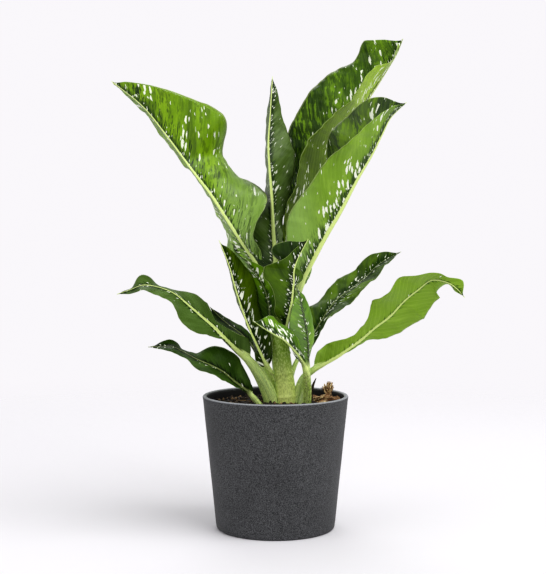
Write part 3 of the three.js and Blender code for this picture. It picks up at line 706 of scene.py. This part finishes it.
        "stalk": [[20, -2, 114, 5.6], [21, -2, 124, 5.4], [26, -4, 143, 3.8], [36, -8, 153, 3]],
        "rib": [[48, -12, 160], [61, -16, 168], [79, -22, 182], [92, -26, 194], [107, -30, 206],
            [119, -34, 220], [132, -38, 231], [144, -41, 240], [158, -44, 238], [167, -45, 232],
            [174, -46, 224]],
        "left": [[14, 6, 0], [15.5, 8, 0], [9, 25, 0], [14, 38, 0], [27, 31, 0], [28, 49, 0],
            [26, 40, 0], [15, 56, 0], [7, 45, 0], [9, 10, 0], [1, 70, 0]],
        "right": [[2, -60, 0], [3, -52, 0], [7, -50, 0], [18, -34, 0], [27, -38, 0], [30, -27, 0],
            [27, -39, 0], [21, -33, 0], [7, -72, 0], [5, -60, 0], [1, -60, 0]],
        "rib_radius": 2, "front": "meadow", "back": "grass", "stem": "pale", "front_is": "under",
        "flecks": (0.1, 0.04, 2, 7), "blotch": (0.05, 0.05), "zone": 2, "rib_shade": 0.9,
        "near_base": ("pale", 60), "veins": 0.5, "gloss": 0.2, "ruffle": 1.3,
    },
}
# The fourth shade, pale, is a painted sheen: a leaf whose near_base names it is painted paler towards its
# base.
LEAF_SHADES = ("main", "bright", "dark", "pale")
LEAF_PAINTS = {
    "lime": ((122, 164, 0), (150, 190, 20), (18, 48, 0), (160, 194, 104)),
    "sunlit": ((172, 208, 56), (190, 220, 90), (34, 60, 2), (200, 224, 120)),
    "fresh": ((128, 168, 36), (156, 194, 66), (22, 56, 4), (164, 200, 108)),
    "meadow": ((132, 170, 40), (160, 196, 70), (30, 66, 4), (156, 190, 100)),
    "fern": ((84, 112, 2), (114, 146, 14), (12, 34, 0), (120, 150, 60)),
    "grass": ((96, 142, 10), (140, 184, 40), (16, 42, 2), (150, 186, 80)),
    # The next green, for the centre spear's underside, is darker than the other undersides: painted shade.
    "sage": ((88, 114, 44), (122, 146, 86), (18, 44, 2), (140, 164, 110)),
    "mottled": ((66, 98, 18), (118, 158, 26), (16, 40, 2), (120, 150, 80)),
    "marbled": ((62, 84, 40), (112, 146, 30), (28, 52, 12), (130, 156, 80)),
    "olive": ((70, 100, 6), (104, 138, 24), (12, 34, 0), (120, 150, 60)),
    "moss": ((66, 96, 24), (104, 138, 40), (16, 40, 4), (120, 150, 70)),
    "slate": ((76, 102, 40), (98, 126, 62), (20, 42, 10), (120, 146, 84)),
    "deep": ((44, 70, 14), (74, 104, 34), (8, 24, 2), (80, 104, 50)),
}
STEM_PAINTS = {"pale": (178, 206, 130), "speckled": (150, 186, 66)}
RIB_PAINT = (224, 242, 150)
FLECK_PAINT = (250, 254, 236)
MARGIN_PAINT = (186, 208, 128)
LEAF_STEP = 0.0015
LEAF_COLUMNS = 18
RIB_COLUMNS = 5
RIB_TAPER = 0.85
RIB_SWELL = 1.3
RIB_PAINT_REACH = 1.5
BLADE_HALF = 0.00032
BLADE_LEAST = 0.0003
BLADE_OPENS = (1.1, 2.6)
BASE_SPREAD = 1.1
BASE_SPREAD_LEAST = 0.004
BASE_TURN = 0.010
PAINT_FADE = 0.004
POINTED_BELOW = 2
TIP_RADIUS = 0.00025
TIP_LENGTH = 0.012
TIP_SHARE = 0.12
VEIN_SLANT = 0.9
VEIN_BEND = 4.0
VEIN_GAP = 0.0056
FINE_VEIN_GAP = 0.00125
PUCKER = 0.00016
RUFFLE_LENGTH = 0.034
SWAY_LENGTH = 0.052
STALK_FADE = 0.02

# The upper stalks grow out of the cane's side: each narrows over its last millimetres and tucks in.
CROWN_FROM = 0.170
CROWN_FOOT = 0.010
CROWN_TUCK = 0.003
CROWN_NARROWS = 0.4
CANE_CROWN = (0.003, 0.002)


def wander(run, length, seed):
    """An uneven wave along a leaf, between about -1 and 1."""
    shifts = np.random.default_rng(seed).uniform(0, 2 * math.pi, 4)
    waves = zip((1, 0.61, 0.37, 0.23), (0.5, 0.32, 0.22, 0.14), shifts)
    return sum(size * np.sin(2 * math.pi * run / (length * part) + shift) for part, size, shift in waves)


def leaf_finish(name, rows, side_shown, paint):
    """One side of a leaf. It reads where each point lies: along its side vein, and out from the rib."""
    fine, large, band_start, band_end = rows["flecks"]
    blotch = rows["blotch"][0 if side_shown == rows["front_is"] else 1]
    band_start, band_end, zone = band_start * MM, band_end * MM, rows["zone"] * MM
    made = Nodes(name)
    grain = made.read("grain").outputs["Vector"]
    vein, out, _ = made.split(grain)
    rib = made.read("rib").outputs["Fac"]
    stalk = made.read("stalk").outputs["Fac"]
    edge = made.read("edge").outputs["Fac"]
    under = side_shown == "under"
    paints = {shade: colour(*value) for shade, value in zip(LEAF_SHADES, LEAF_PAINTS[paint])}

    # The green: slow drifts and fine streaks along the side veins, and large darker blotches.
    slow = made.cloud(made.stretch(grain, (60, 28, 3)), detail=3)
    streak = made.cloud(made.stretch(grain, (420, 60, 5)), detail=4, rough=0.62)
    base = made.blend(made.ramp(slow, 0.46, 0.72, 0, 0.8), paints["main"], paints["bright"])
    base = made.blend(made.ramp(slow, 0.47, 0.32, 0, min(0.5, 2.5 * blotch)), base, paints["dark"])
    base = made.blend(made.times(made.ramp(streak, 0.5, 0.72), 0.25), base, paints["bright"])
    # Towards the base the green turns to the near_base shade. Where that is the pale one, it is a painted
    # sheen.
    key, until = rows["near_base"]
    base = made.blend(made.ramp(vein, 0.45 * until * MM, until * MM, 0.75, 0), base, paints[key])
    blot = made.cloud(made.stretch(grain, (190, 110, 7), (3, 1, 5)), detail=4, rough=0.6)
    patch = made.times(made.ramp(blot, 0.5, 0.56), made.ramp(slow, 0.4, 0.55, 0.2 * blotch, blotch))
    base = made.blend(patch, base, paints["dark"] if under else paints["bright"])

    # A ragged dark band beside the rib, with dark dashes that run out of it along the veins.
    ragged = made.maths("ADD", out, made.ramp(streak, 0.3, 0.7, -0.35 * zone, 0.35 * zone))
    shade = made.ramp(ragged, 0.35 * zone, zone, 0.92, 0.0)
    dashes = made.cloud(made.stretch(grain, (620, 120, 5), (9, 2, 1)), detail=3, rough=0.6)
    dash_reach = made.ramp(out, 0.2 * band_end, 0.7 * band_end, 0.95, 0.0)
    dashes = made.times(made.ramp(dashes, 0.555, 0.6), dash_reach)
    base = made.blend(made.maths("MAXIMUM", shade, dashes), base, paints["dark"])

    # The side veins, and the fine lines between them.
    wave = made.maths("SINE", made.times(vein, 2 * math.pi / FINE_VEIN_GAP))
    drift = made.maths("ADD", vein, made.ramp(slow, 0, 1, 0, 0.003))
    main = made.ramp(made.maths("PINGPONG", drift, VEIN_GAP / 2), 0.0, 0.0005, 1.0, 0.0)
    base = made.blend(made.times(made.ramp(wave, -1, 1), 0.4 * rows["veins"]), base, paints["dark"])
    base = made.blend(made.times(main, rows["veins"]), base, paints["bright"])

    # Cream flecks: small ones crowd the rib, and large ones lie in a band of their own.
    bent = made.cloud(made.stretch(grain, (500, 240, 5)), detail=2)
    push = made.tree.nodes.new("ShaderNodeCombineXYZ")
    made.put(push.inputs[0], made.ramp(bent, 0.25, 0.75, -0.0007, 0.0007))
    made.put(push.inputs[1], made.ramp(streak, 0.25, 0.75, -0.0014, 0.0014))
    warped = made.tree.nodes.new("ShaderNodeVectorMath")
    warped.operation = "ADD"
    made.put(warped.inputs[0], grain)
    made.put(warped.inputs[1], push.outputs[0])
    spot, pick = made.cells(made.stretch(warped.outputs[0], (560, 300, 4)))
    chance = made.ramp(out, 0.0012, 0.6 * zone + 0.004, 0.6 * fine, 0.05 * fine)
    small = made.times(made.ramp(spot, 0.37, 0.31), made.maths("LESS_THAN", made.split(pick)[0], chance))
    spot, pick = made.cells(made.stretch(warped.outputs[0], (215, 125, 4), (0.4, 0.2, 2)))
    crowd = made.cloud(made.stretch(grain, (48, 60, 6), (1, 6, 2)), detail=1)
    crowd = made.ramp(crowd, 0.48, 0.58, 0.04, 1.0)
    band = made.times(made.ramp(out, 0.6 * band_start, band_start + 0.001),
                      made.ramp(out, 0.6 * band_end, band_end, 0.8 * large, 0.0))
    chance = made.times(crowd, band)
    big = made.times(made.ramp(spot, 0.42, 0.37), made.maths("LESS_THAN", made.split(pick)[1], chance))
    base = made.blend(made.maths("MAXIMUM", small, big), base, colour(*FLECK_PAINT))
    base = made.blend(made.ramp(edge, 0.965, 0.99, 0.0, 0.7), base, colour(*MARGIN_PAINT))

    # The rib and the stalk: pale, with fine lines or freckles along them.
    lines = made.cloud(made.stretch(grain, (45, 1500, 3)), detail=2)
    stem_paint = colour(*STEM_PAINTS[rows["stem"]])
    stem_paint = made.blend(made.ramp(lines, 0.35, 0.65), stem_paint, colour(*RIB_PAINT))
    freckle = made.ramp(made.cloud(made.stretch(grain, (620, 900, 5)), detail=3, rough=0.6), 0.48, 0.6)
    freckle = made.times(freckle, 0.65 if rows["stem"] == "speckled" else 0.3)
    stem_paint = made.blend(freckle, stem_paint, paints["dark"])
    rib_paint = made.blend(stalk, colour(*RIB_PAINT), stem_paint)
    ribbed = made.maths("ADD", rib, made.ramp(streak, 0.3, 0.7, -0.08, 0.08))
    ribbed = made.ramp(ribbed, 0.38, 0.54, 0.0, rows["rib_shade"])
    stem = made.times(made.ramp(stalk, 0.0, 0.5), made.ramp(rib, 0.02, 0.2))
    base = made.blend(made.maths("MAXIMUM", ribbed, stem), base, rib_paint)

    relief = made.maths("ADD", made.times(wave, 0.12),
                        made.maths("ADD", streak, made.times(main, 0.6)))
    rough = made.ramp(slow, 0.3, 0.7, 0.32, 0.44) if under else made.ramp(slow, 0.3, 0.7, 0.26, 0.36)
    return made.surface(base, rough, made.bump(relief, 0.35, 0.00025), Specular_IOR_Level=rows["gloss"])


def leaf_line(rows):
    """The line of a leaf's stalk and rib, with its axes, its radius and how far along the blade it is."""
    stalk_rows, rib_rows = np.array(rows["stalk"]) * MM, np.array(rows["rib"]) * MM
    path = np.vstack([stalk_rows[:, :3], rib_rows])
    spans = len(path) - 1
    rib_start = len(stalk_rows) / spans
    share, run = evenly(path, LEAF_STEP)
    centre, _, side, front = axes_along(path, share)
    blade = np.clip((share - rib_start) / (1 - rib_start), 0, 1)
    from_base = run - np.interp(rib_start, share, run)

    rib_radius = rows["rib_radius"] * MM
    radii = np.append(stalk_rows[:, 3], rib_radius)
    radius = np.interp(share * spans, range(len(radii)), radii)
    rib = TIP_RADIUS + (rib_radius - TIP_RADIUS) * (1 - blade) ** RIB_TAPER
    radius = np.where(blade > 0, rib, radius)
    if path[0, 2] > CROWN_FROM:
        settled = rise(0, CROWN_FOOT, run)
        inward = np.array([*CANE_CROWN, path[0, 2]]) - path[0]
        inward = inward * min(1, CROWN_TUCK / np.linalg.norm(inward))
        radius = radius * (1 - CROWN_NARROWS + CROWN_NARROWS * settled)
        centre = centre + (1 - settled)[:, None] * inward
    return SimpleNamespace(centre=centre, side=side, front=front, run=run, radius=radius, blade=blade,
                           from_base=from_base)


def half_leaf(line, half_rows, ruffle, seed, hand):
    """One half of a leaf, from the rib's middle to the margin: where its skin lies, section by section."""
    run, from_base, radius = line.run[:, None], line.from_base, line.radius[:, None]
    half = spline(half_rows, line.blade)
    base_width = half[0, 0] * MM
    fade = rise(-max(BASE_SPREAD * base_width, BASE_SPREAD_LEAST), 0, from_base)[:, None]
    width = np.maximum(half[:, 0] * MM, BLADE_LEAST)[:, None]
    sheath = radius + np.maximum(base_width - radius, 0) * fade
    width = np.maximum(np.where(line.blade[:, None] > 0, width, sheath), radius * 1.02)
    if half_rows[-1][0] <= POINTED_BELOW:
        width = width * (TIP_SHARE + (1 - TIP_SHARE) * rise(0, TIP_LENGTH, run[-1] - run))
    turn_in = rise(-BASE_TURN, 0, from_base)[:, None]
    lift = np.radians(half[:, 1])[:, None] * turn_in
    curl = np.radians(half[:, 2])[:, None] * turn_in

    # A stalk is round, and it opens into a blade where the half is wide against its radius.
    inner = np.linspace(0, 1, LEAF_COLUMNS + 1)
    rib_share = RIB_COLUMNS / LEAF_COLUMNS
    narrow = radius * np.sin(math.pi / 2 * inner)[None, :]
    ribbed = np.minimum(inner / rib_share, 1)[None, :] * RIB_SWELL * radius
    outer = np.clip((inner - rib_share) / (1 - rib_share), 0, 1)[None, :]
    wide = ribbed + (width - RIB_SWELL * radius) * outer
    opened = rise(*BLADE_OPENS, width / radius)
    reach = np.minimum(narrow * (1 - opened) + wide * opened, width)
    part = reach / width
    rounding = np.sqrt(np.maximum(radius**2 - reach**2, 0))
    swell = radius * np.cos(math.pi / 2 * np.clip(reach / (RIB_SWELL * radius), 0, 1)) ** 2
    thin = BLADE_HALF * np.sqrt(np.maximum(1 - part**8, 0))
    thick = rounding * (1 - opened) + np.maximum(thin, 0.92 * swell + 0.3 * thin) * opened
    flat = rounding * (1 - opened) + (thin + 0.22 * swell * (part < 1)) * opened

    # The margin waves, the middle of the half sways, and the skin puckers between its side veins.
    vein = run - VEIN_SLANT * reach - VEIN_BEND * reach**2
    waves = ruffle * part**2 * wander(run + 0.3 * reach, RUFFLE_LENGTH, seed + hand) * opened
    bulge = np.sin(math.pi * part)
    sways = 0.5 * ruffle * bulge * wander(run, SWAY_LENGTH, seed + 7 + hand) * opened
    bulge = np.sin(math.pi * np.clip(part, 0, 1))
    puckers = PUCKER * np.sin(2 * math.pi * vein / VEIN_GAP) * bulge * opened
    return SimpleNamespace(reach=reach, part=part, vein=vein, thick=thick, flat=flat,
                           chord=lift + curl * part / 2, lean=lift + curl * part,
                           lift_off=waves + sways + puckers)


def grow(node, rows):
    """One leaf as a closed mesh, and what its paints read at each point."""
    seed = sum(ord(letter) for letter in node)
    line = leaf_line(rows)
    left, right = (half_leaf(line, rows[key], rows["ruffle"] * MM, seed, hand)
                   for key, hand in (("left", -1), ("right", 1)))
    side, front = line.side[:, None], line.front[:, None]

    def normals(half, hand):
        lean = half.lean[:, :, None]
        return -hand * side * np.sin(lean) + front * np.cos(lean)

    middle = normals(left, -1)[:, :1] + normals(right, 1)[:, :1]
    middle /= np.linalg.norm(middle, axis=2)[:, :, None]

    def skins(half, hand):
        """The half's skin in front of its own middle, and the one behind."""
        settle = rise(0, 1.0, half.reach / line.radius[:, None])[:, :, None]
        away = middle * (1 - settle) + normals(half, hand) * settle
        away /= np.linalg.norm(away, axis=2)[:, :, None]
        reach, chord = half.reach[:, :, None], half.chord[:, :, None]
        spot = line.centre[:, None] + hand * side * reach * np.cos(chord) + front * reach * np.sin(chord)
        spot = spot + away * half.lift_off[:, :, None]
        ahead, behind = half.thick, half.flat
        if rows["front_is"] != "under":
            ahead, behind = behind, ahead
        return spot + away * ahead[:, :, None], spot - away * behind[:, :, None]

    def loop(left, right, left_back, right_back):
        """Left margin to right margin over the front, then back over the other side."""
        over = [left[:, ::-1], right[:, 1:], right_back[:, -2:0:-1], left_back[:, :-1]]
        return np.concatenate(over, axis=1)

    (left_ahead, left_behind), (right_ahead, right_behind) = skins(left, -1), skins(right, 1)
    points = loop(left_ahead, right_ahead, left_behind, right_behind)
    sections, ring = points.shape[:2]
    faces = between_rings(sections, ring)
    faces.append(tuple(reversed(range(ring))))
    faces.append(tuple(range((sections - 1) * ring, sections * ring)))
    sides = [0 if step < 2 * LEAF_COLUMNS else 1 for step in range(ring)] * (sections - 1) + [0, 0]

    vein, reach, part = (loop(a, b, a, b) for a, b in
                         ((left.vein, right.vein), (left.reach, right.reach), (left.part, right.part)))
    rib_reach = RIB_PAINT_REACH * np.maximum(line.radius, 0.0004)[:, None]
    from_base = line.from_base[:, None]
    # A number of its own for each half and each leaf, so that no two have the same flecks.
    own = seed * 0.37 + np.sign(np.arange(ring) % (2 * LEAF_COLUMNS) - LEAF_COLUMNS) * 3.1
    notes = {
        "grain": np.stack([vein, reach, np.broadcast_to(own, reach.shape)], axis=2).reshape(-1, 3),
        "rib": (1 - np.clip(reach / rib_reach, 0, 1)).ravel(),
        "stalk": np.broadcast_to(rise(PAINT_FADE, -STALK_FADE, from_base), reach.shape).ravel(),
        "edge": (part * rise(-PAINT_FADE, PAINT_FADE, from_base)).ravel(),
    }
    return points.reshape(-1, 3), faces, sides, notes


for node, rows in LEAVES.items():
    points, faces, sides, notes = grow(node, rows)
    name = node.replace("leaf_", "") + "_leaf"
    piece = build(name, points, faces, [node])
    for note, values in notes.items():
        record_on(piece, note, values)
    other = "top" if rows["front_is"] == "under" else "under"
    piece.data.materials.append(leaf_finish(name + "_front", rows, rows["front_is"], rows["front"]))
    piece.data.materials.append(leaf_finish(name + "_back", rows, other, rows["back"]))
    piece.data.polygons.foreach_set("material_index", sides)


# ---------------------------------------------------------------- bark, husk and dried sheath
#
# A small heap of golden-brown bark lies on the soil beside the stalks. Each chip is a bundle of coarse
# fibres that has torn into splinters at its ends, and a shaggy tuft of husk stands up among them.

BARK_PAINTS = {"pale": (228, 200, 150), "mid": (156, 110, 64), "dark": (58, 36, 20)}
CHIPS = 8
SPLINTERS = 26
SPLINTER_POINTS = 7
SPLINTER_SIDES = 6
SPLINTER_THICKNESS = (0.0006, 0.0013)
HUSK_THICKNESS = (0.00035, 0.0009)
HUSK_FIBRES = 70
HUSK_REACH = (0.006, 0.0125)


def bark_finish(name, pale_share):
    """Long streaks of pale and dark fibre, each splinter with a shade of its own."""
    made = Nodes(name)
    grain = made.read("grain").outputs["Vector"]
    own = made.read("crumb").outputs["Fac"]
    streak = made.cloud(made.stretch(grain, (160, 1500, 1)), detail=3, rough=0.6)
    base = made.blend(made.ramp(streak, 0.36, 0.6), colour(*BARK_PAINTS["dark"]), colour(*BARK_PAINTS["mid"]))
    shade = made.maths("ADD", own, made.ramp(streak, 0.3, 0.7, -0.3, 0.3))
    pale = made.ramp(shade, 1 - pale_share, 1.3 - pale_share)
    base = made.blend(pale, base, colour(*BARK_PAINTS["pale"]))
    return made.surface(base, made.ramp(streak, 0.3, 0.7, 0.55, 0.8), made.bump(streak, 0.6, 0.0005))


def splinter(start, end, thick, bend, chance):
    """One fibre or splinter: a thread that bends and thins to torn ends."""
    parts = np.linspace(0, 1, SPLINTER_POINTS)
    path = start + (end - start) * parts[:, None] + bend * np.sin(math.pi * parts)[:, None]
    path[1:-1] += chance.normal(0, thick * 0.25, (SPLINTER_POINTS - 2, 3))
    radii = thick * (0.35 + 0.65 * np.sin(math.pi * np.clip(parts, 0.08, 0.92)))
    points, faces = strand(path, radii, SPLINTER_SIDES)
    along = np.repeat(parts, SPLINTER_SIDES) * np.linalg.norm(end - start)
    around = np.linspace(0, 2 * math.pi * thick, SPLINTER_SIDES, endpoint=False)
    around = np.tile(around, SPLINTER_POINTS)
    grain = np.stack([along, around, np.full(len(points), chance.uniform(0, 40))], axis=1)
    return points, faces, grain, np.full(len(points), chance.uniform())


def fibre_piece(name, splinters, node, finish):
    """All the splinters of one chip or tuft as one piece."""
    points, faces = gathered([(points, faces) for points, faces, _, _ in splinters])
    piece = build(name, points, faces, [node])
    record_on(piece, "grain", np.vstack([grain for _, _, grain, _ in splinters]))
    record_on(piece, "crumb", np.concatenate([tone for _, _, _, tone in splinters]))
    piece.data.materials.append(finish)


bark = bark_finish("golden_bark", 0.42)
for number in range(1, CHIPS + 1):
    node = f"bark_chip_{number}"
    corners = np.array([vertex.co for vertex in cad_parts[node].data.vertices])
    middle = corners.mean(0)
    ways = np.linalg.svd(corners - middle, full_matrices=False)[2]
    spread = (corners - middle) @ ways.T
    half_long, half_wide, half_thick = np.abs(spread).max(0) * 0.86
    chance = np.random.default_rng(40 + number)
    splinters = []
    for _ in range(SPLINTERS):
        across, up = chance.uniform(-1, 1), chance.uniform(-1, 1)
        ends = chance.uniform(0.55, 1.1, 2)
        start = middle + ways.T @ (-half_long * ends[0], half_wide * across, half_thick * up * 0.7)
        end = middle + ways.T @ (half_long * ends[1], half_wide * across * 0.8, half_thick * up * 0.7)
        bend = np.array([0, 0, chance.uniform(-0.0002, 0.0009)])
        splinters.append(splinter(start, end, chance.uniform(*SPLINTER_THICKNESS), bend, chance))
    fibre_piece(f"bark_splinters_{number}", splinters, node, bark)

# The tuft fans out from one root of matted fibre, some fibres upright and some lying over the bark.
tuft_low, tuft_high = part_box("husk_tuft")
tuft_foot = np.array([(tuft_low.x + tuft_high.x) / 2, (tuft_low.y + tuft_high.y) / 2, tuft_low.z + 0.0022])
chance = np.random.default_rng(77)
splinters = []
for _ in range(HUSK_FIBRES):
    turn, tip = chance.uniform(0, 2 * math.pi), chance.uniform(0.05, 0.95)
    reach = chance.uniform(*HUSK_REACH)
    way = np.array([math.sin(tip) * math.cos(turn), 0.6 * math.sin(tip) * math.sin(turn), math.cos(tip)])
    start = tuft_foot + chance.normal(0, 0.0011, 3)
    bend = chance.normal(0, 0.0009, 3)
    thick = chance.uniform(*HUSK_THICKNESS)
    splinters.append(splinter(start, tuft_foot + way * reach, thick, bend, chance))
fibre_piece("husk_fibres", splinters, "husk_tuft", bark_finish("golden_husk", 0.62))

# The dried sheath is the last of an old leaf: a dark papery spike, curled round on itself.
SHEATH_PAINTS = {"dark": (34, 26, 16), "mid": (84, 66, 38)}
SHEATH = [[34, 1, 117, 1.9], [34, 1, 127, 1.8], [36, 1, 137, 1.2], [39, 1, 144, 0.3]]
SHEATH_STEP = 0.0012
SHEATH_TURNS = (0.35 * math.pi, 2.15 * math.pi)
SHEATH_COLUMNS = 15
SHEATH_INNER = 0.72
sheath_rows = np.array(SHEATH) * MM
sheath_share, _ = evenly(sheath_rows[:, :3], SHEATH_STEP)
centre, _, side, front = axes_along(sheath_rows[:, :3], sheath_share)
curl_radius = spline(sheath_rows[:, 3:], sheath_share)[:, 0]
around = np.linspace(*SHEATH_TURNS, SHEATH_COLUMNS)
points = []
for spot, right, ahead, radius, share in zip(centre, side, front, curl_radius, sheath_share):
    for turns, layer in ((around, 1.0), (around[::-1], SHEATH_INNER)):
        for turn in turns:
            reach = radius * layer * (1 + 0.16 * math.sin(5 * turn + 9 * share))
            points.append(spot + reach * (right * math.cos(turn) + ahead * math.sin(turn)))
ring = 2 * SHEATH_COLUMNS
faces = between_rings(len(centre), ring)
faces += [tuple(reversed(range(ring))), tuple(range((len(centre) - 1) * ring, len(centre) * ring))]
sheath_piece = build("dried_sheath_curl", points, faces, ["dried_sheath"])
made = Nodes("dried_sheath_brown")
fibres = made.cloud(made.stretch(made.place(), (1, 1, 0.12)), scale=900, detail=3)
base = made.blend(made.ramp(fibres, 0.4, 0.62), colour(*SHEATH_PAINTS["dark"]), colour(*SHEATH_PAINTS["mid"]))
sheath_piece.data.materials.append(made.surface(base, 0.7, made.bump(fibres, 0.5, 0.0004)))


# ---------------------------------------------------------------- floor, light and camera
#
# A pale floor that fades into a pale surround. A broad soft light stands high at the right and front,
# with weaker ones at the left and behind, and a long lens looks on from a little over a metre away.

FLOOR_PAINT = (240, 238, 242)
SURROUND_PAINT = (231, 229, 232)
FLOOR_RADIUS = 1.6
FLOOR_SIDES = 96
FLOOR_FADES = (0.45, 1.3)
SURROUND_LIGHT = 0.5
LAMPS = [
    ("key", (1.3, -1.0, 2.1), 2.2, 40),
    ("fill", (-1.7, -1.0, 1.1), 1.5, 5),
    ("back", (-0.3, 1.5, 1.9), 1.2, 8),
]
CAMERA_PLACE = (-0.0024, -1.2, 0.288)
CAMERA_TILT = 2.69
CAMERA_LENS = 78.8
LOOK_AT = Vector((0, 0, 0.24))

floor_mesh = bpy.data.meshes.new("floor")
turns = np.linspace(0, 2 * math.pi, FLOOR_SIDES, endpoint=False)
floor_points = [(FLOOR_RADIUS * math.cos(turn), FLOOR_RADIUS * math.sin(turn), 0) for turn in turns]
floor_mesh.from_pydata(floor_points, [], [tuple(range(FLOOR_SIDES))])
floor = bpy.data.objects.new("floor", floor_mesh)
bpy.context.scene.collection.objects.link(floor)
made = Nodes("pale_floor")
faded = made.ramp(made.round_place(made.place())[0], *FLOOR_FADES)
made.surface(colour(*FLOOR_PAINT), 0.9)
floor_shader = next(item for item in made.tree.nodes if item.type == "BSDF_PRINCIPLED")
clear = made.tree.nodes.new("ShaderNodeBsdfTransparent")
mixed = made.tree.nodes.new("ShaderNodeMixShader")
made.put(mixed.inputs[0], faded)
made.put(mixed.inputs[1], floor_shader.outputs[0])
made.put(mixed.inputs[2], clear.outputs[0])
made.put(next(item for item in made.tree.nodes if item.type == "OUTPUT_MATERIAL").inputs[0], mixed.outputs[0])
floor.data.materials.append(made.material)

world = bpy.data.worlds.new("surround")
bpy.context.scene.world = world
world.use_nodes = True
tree = world.node_tree
tree.nodes.clear()
lit, seen = (tree.nodes.new("ShaderNodeBackground") for _ in range(2))
lit.inputs[0].default_value = (1, 1, 1, 1)
lit.inputs[1].default_value = SURROUND_LIGHT
seen.inputs[0].default_value = colour(*SURROUND_PAINT)
ray = tree.nodes.new("ShaderNodeLightPath")
either = tree.nodes.new("ShaderNodeMixShader")
world_out = tree.nodes.new("ShaderNodeOutputWorld")
tree.links.new(ray.outputs["Is Camera Ray"], either.inputs[0])
tree.links.new(lit.outputs[0], either.inputs[1])
tree.links.new(seen.outputs[0], either.inputs[2])
tree.links.new(either.outputs[0], world_out.inputs[0])

for name, place, size, power in LAMPS:
    lamp = bpy.data.objects.new(name, bpy.data.lights.new(name, "AREA"))
    lamp.data.size = size
    lamp.data.energy = power
    lamp.location = place
    lamp.rotation_euler = (LOOK_AT - Vector(place)).to_track_quat("-Z", "Y").to_euler()
    bpy.context.scene.collection.objects.link(lamp)

camera = bpy.data.objects.new("camera", bpy.data.cameras.new("camera"))
camera.location = CAMERA_PLACE
camera.rotation_euler = (math.radians(90 - CAMERA_TILT), 0, 0)
camera.data.lens = CAMERA_LENS
bpy.context.scene.collection.objects.link(camera)
bpy.context.scene.camera = camera
bpy.context.scene.view_settings.view_transform = "Standard"
bpy.context.scene.view_settings.look = "Medium High Contrast"
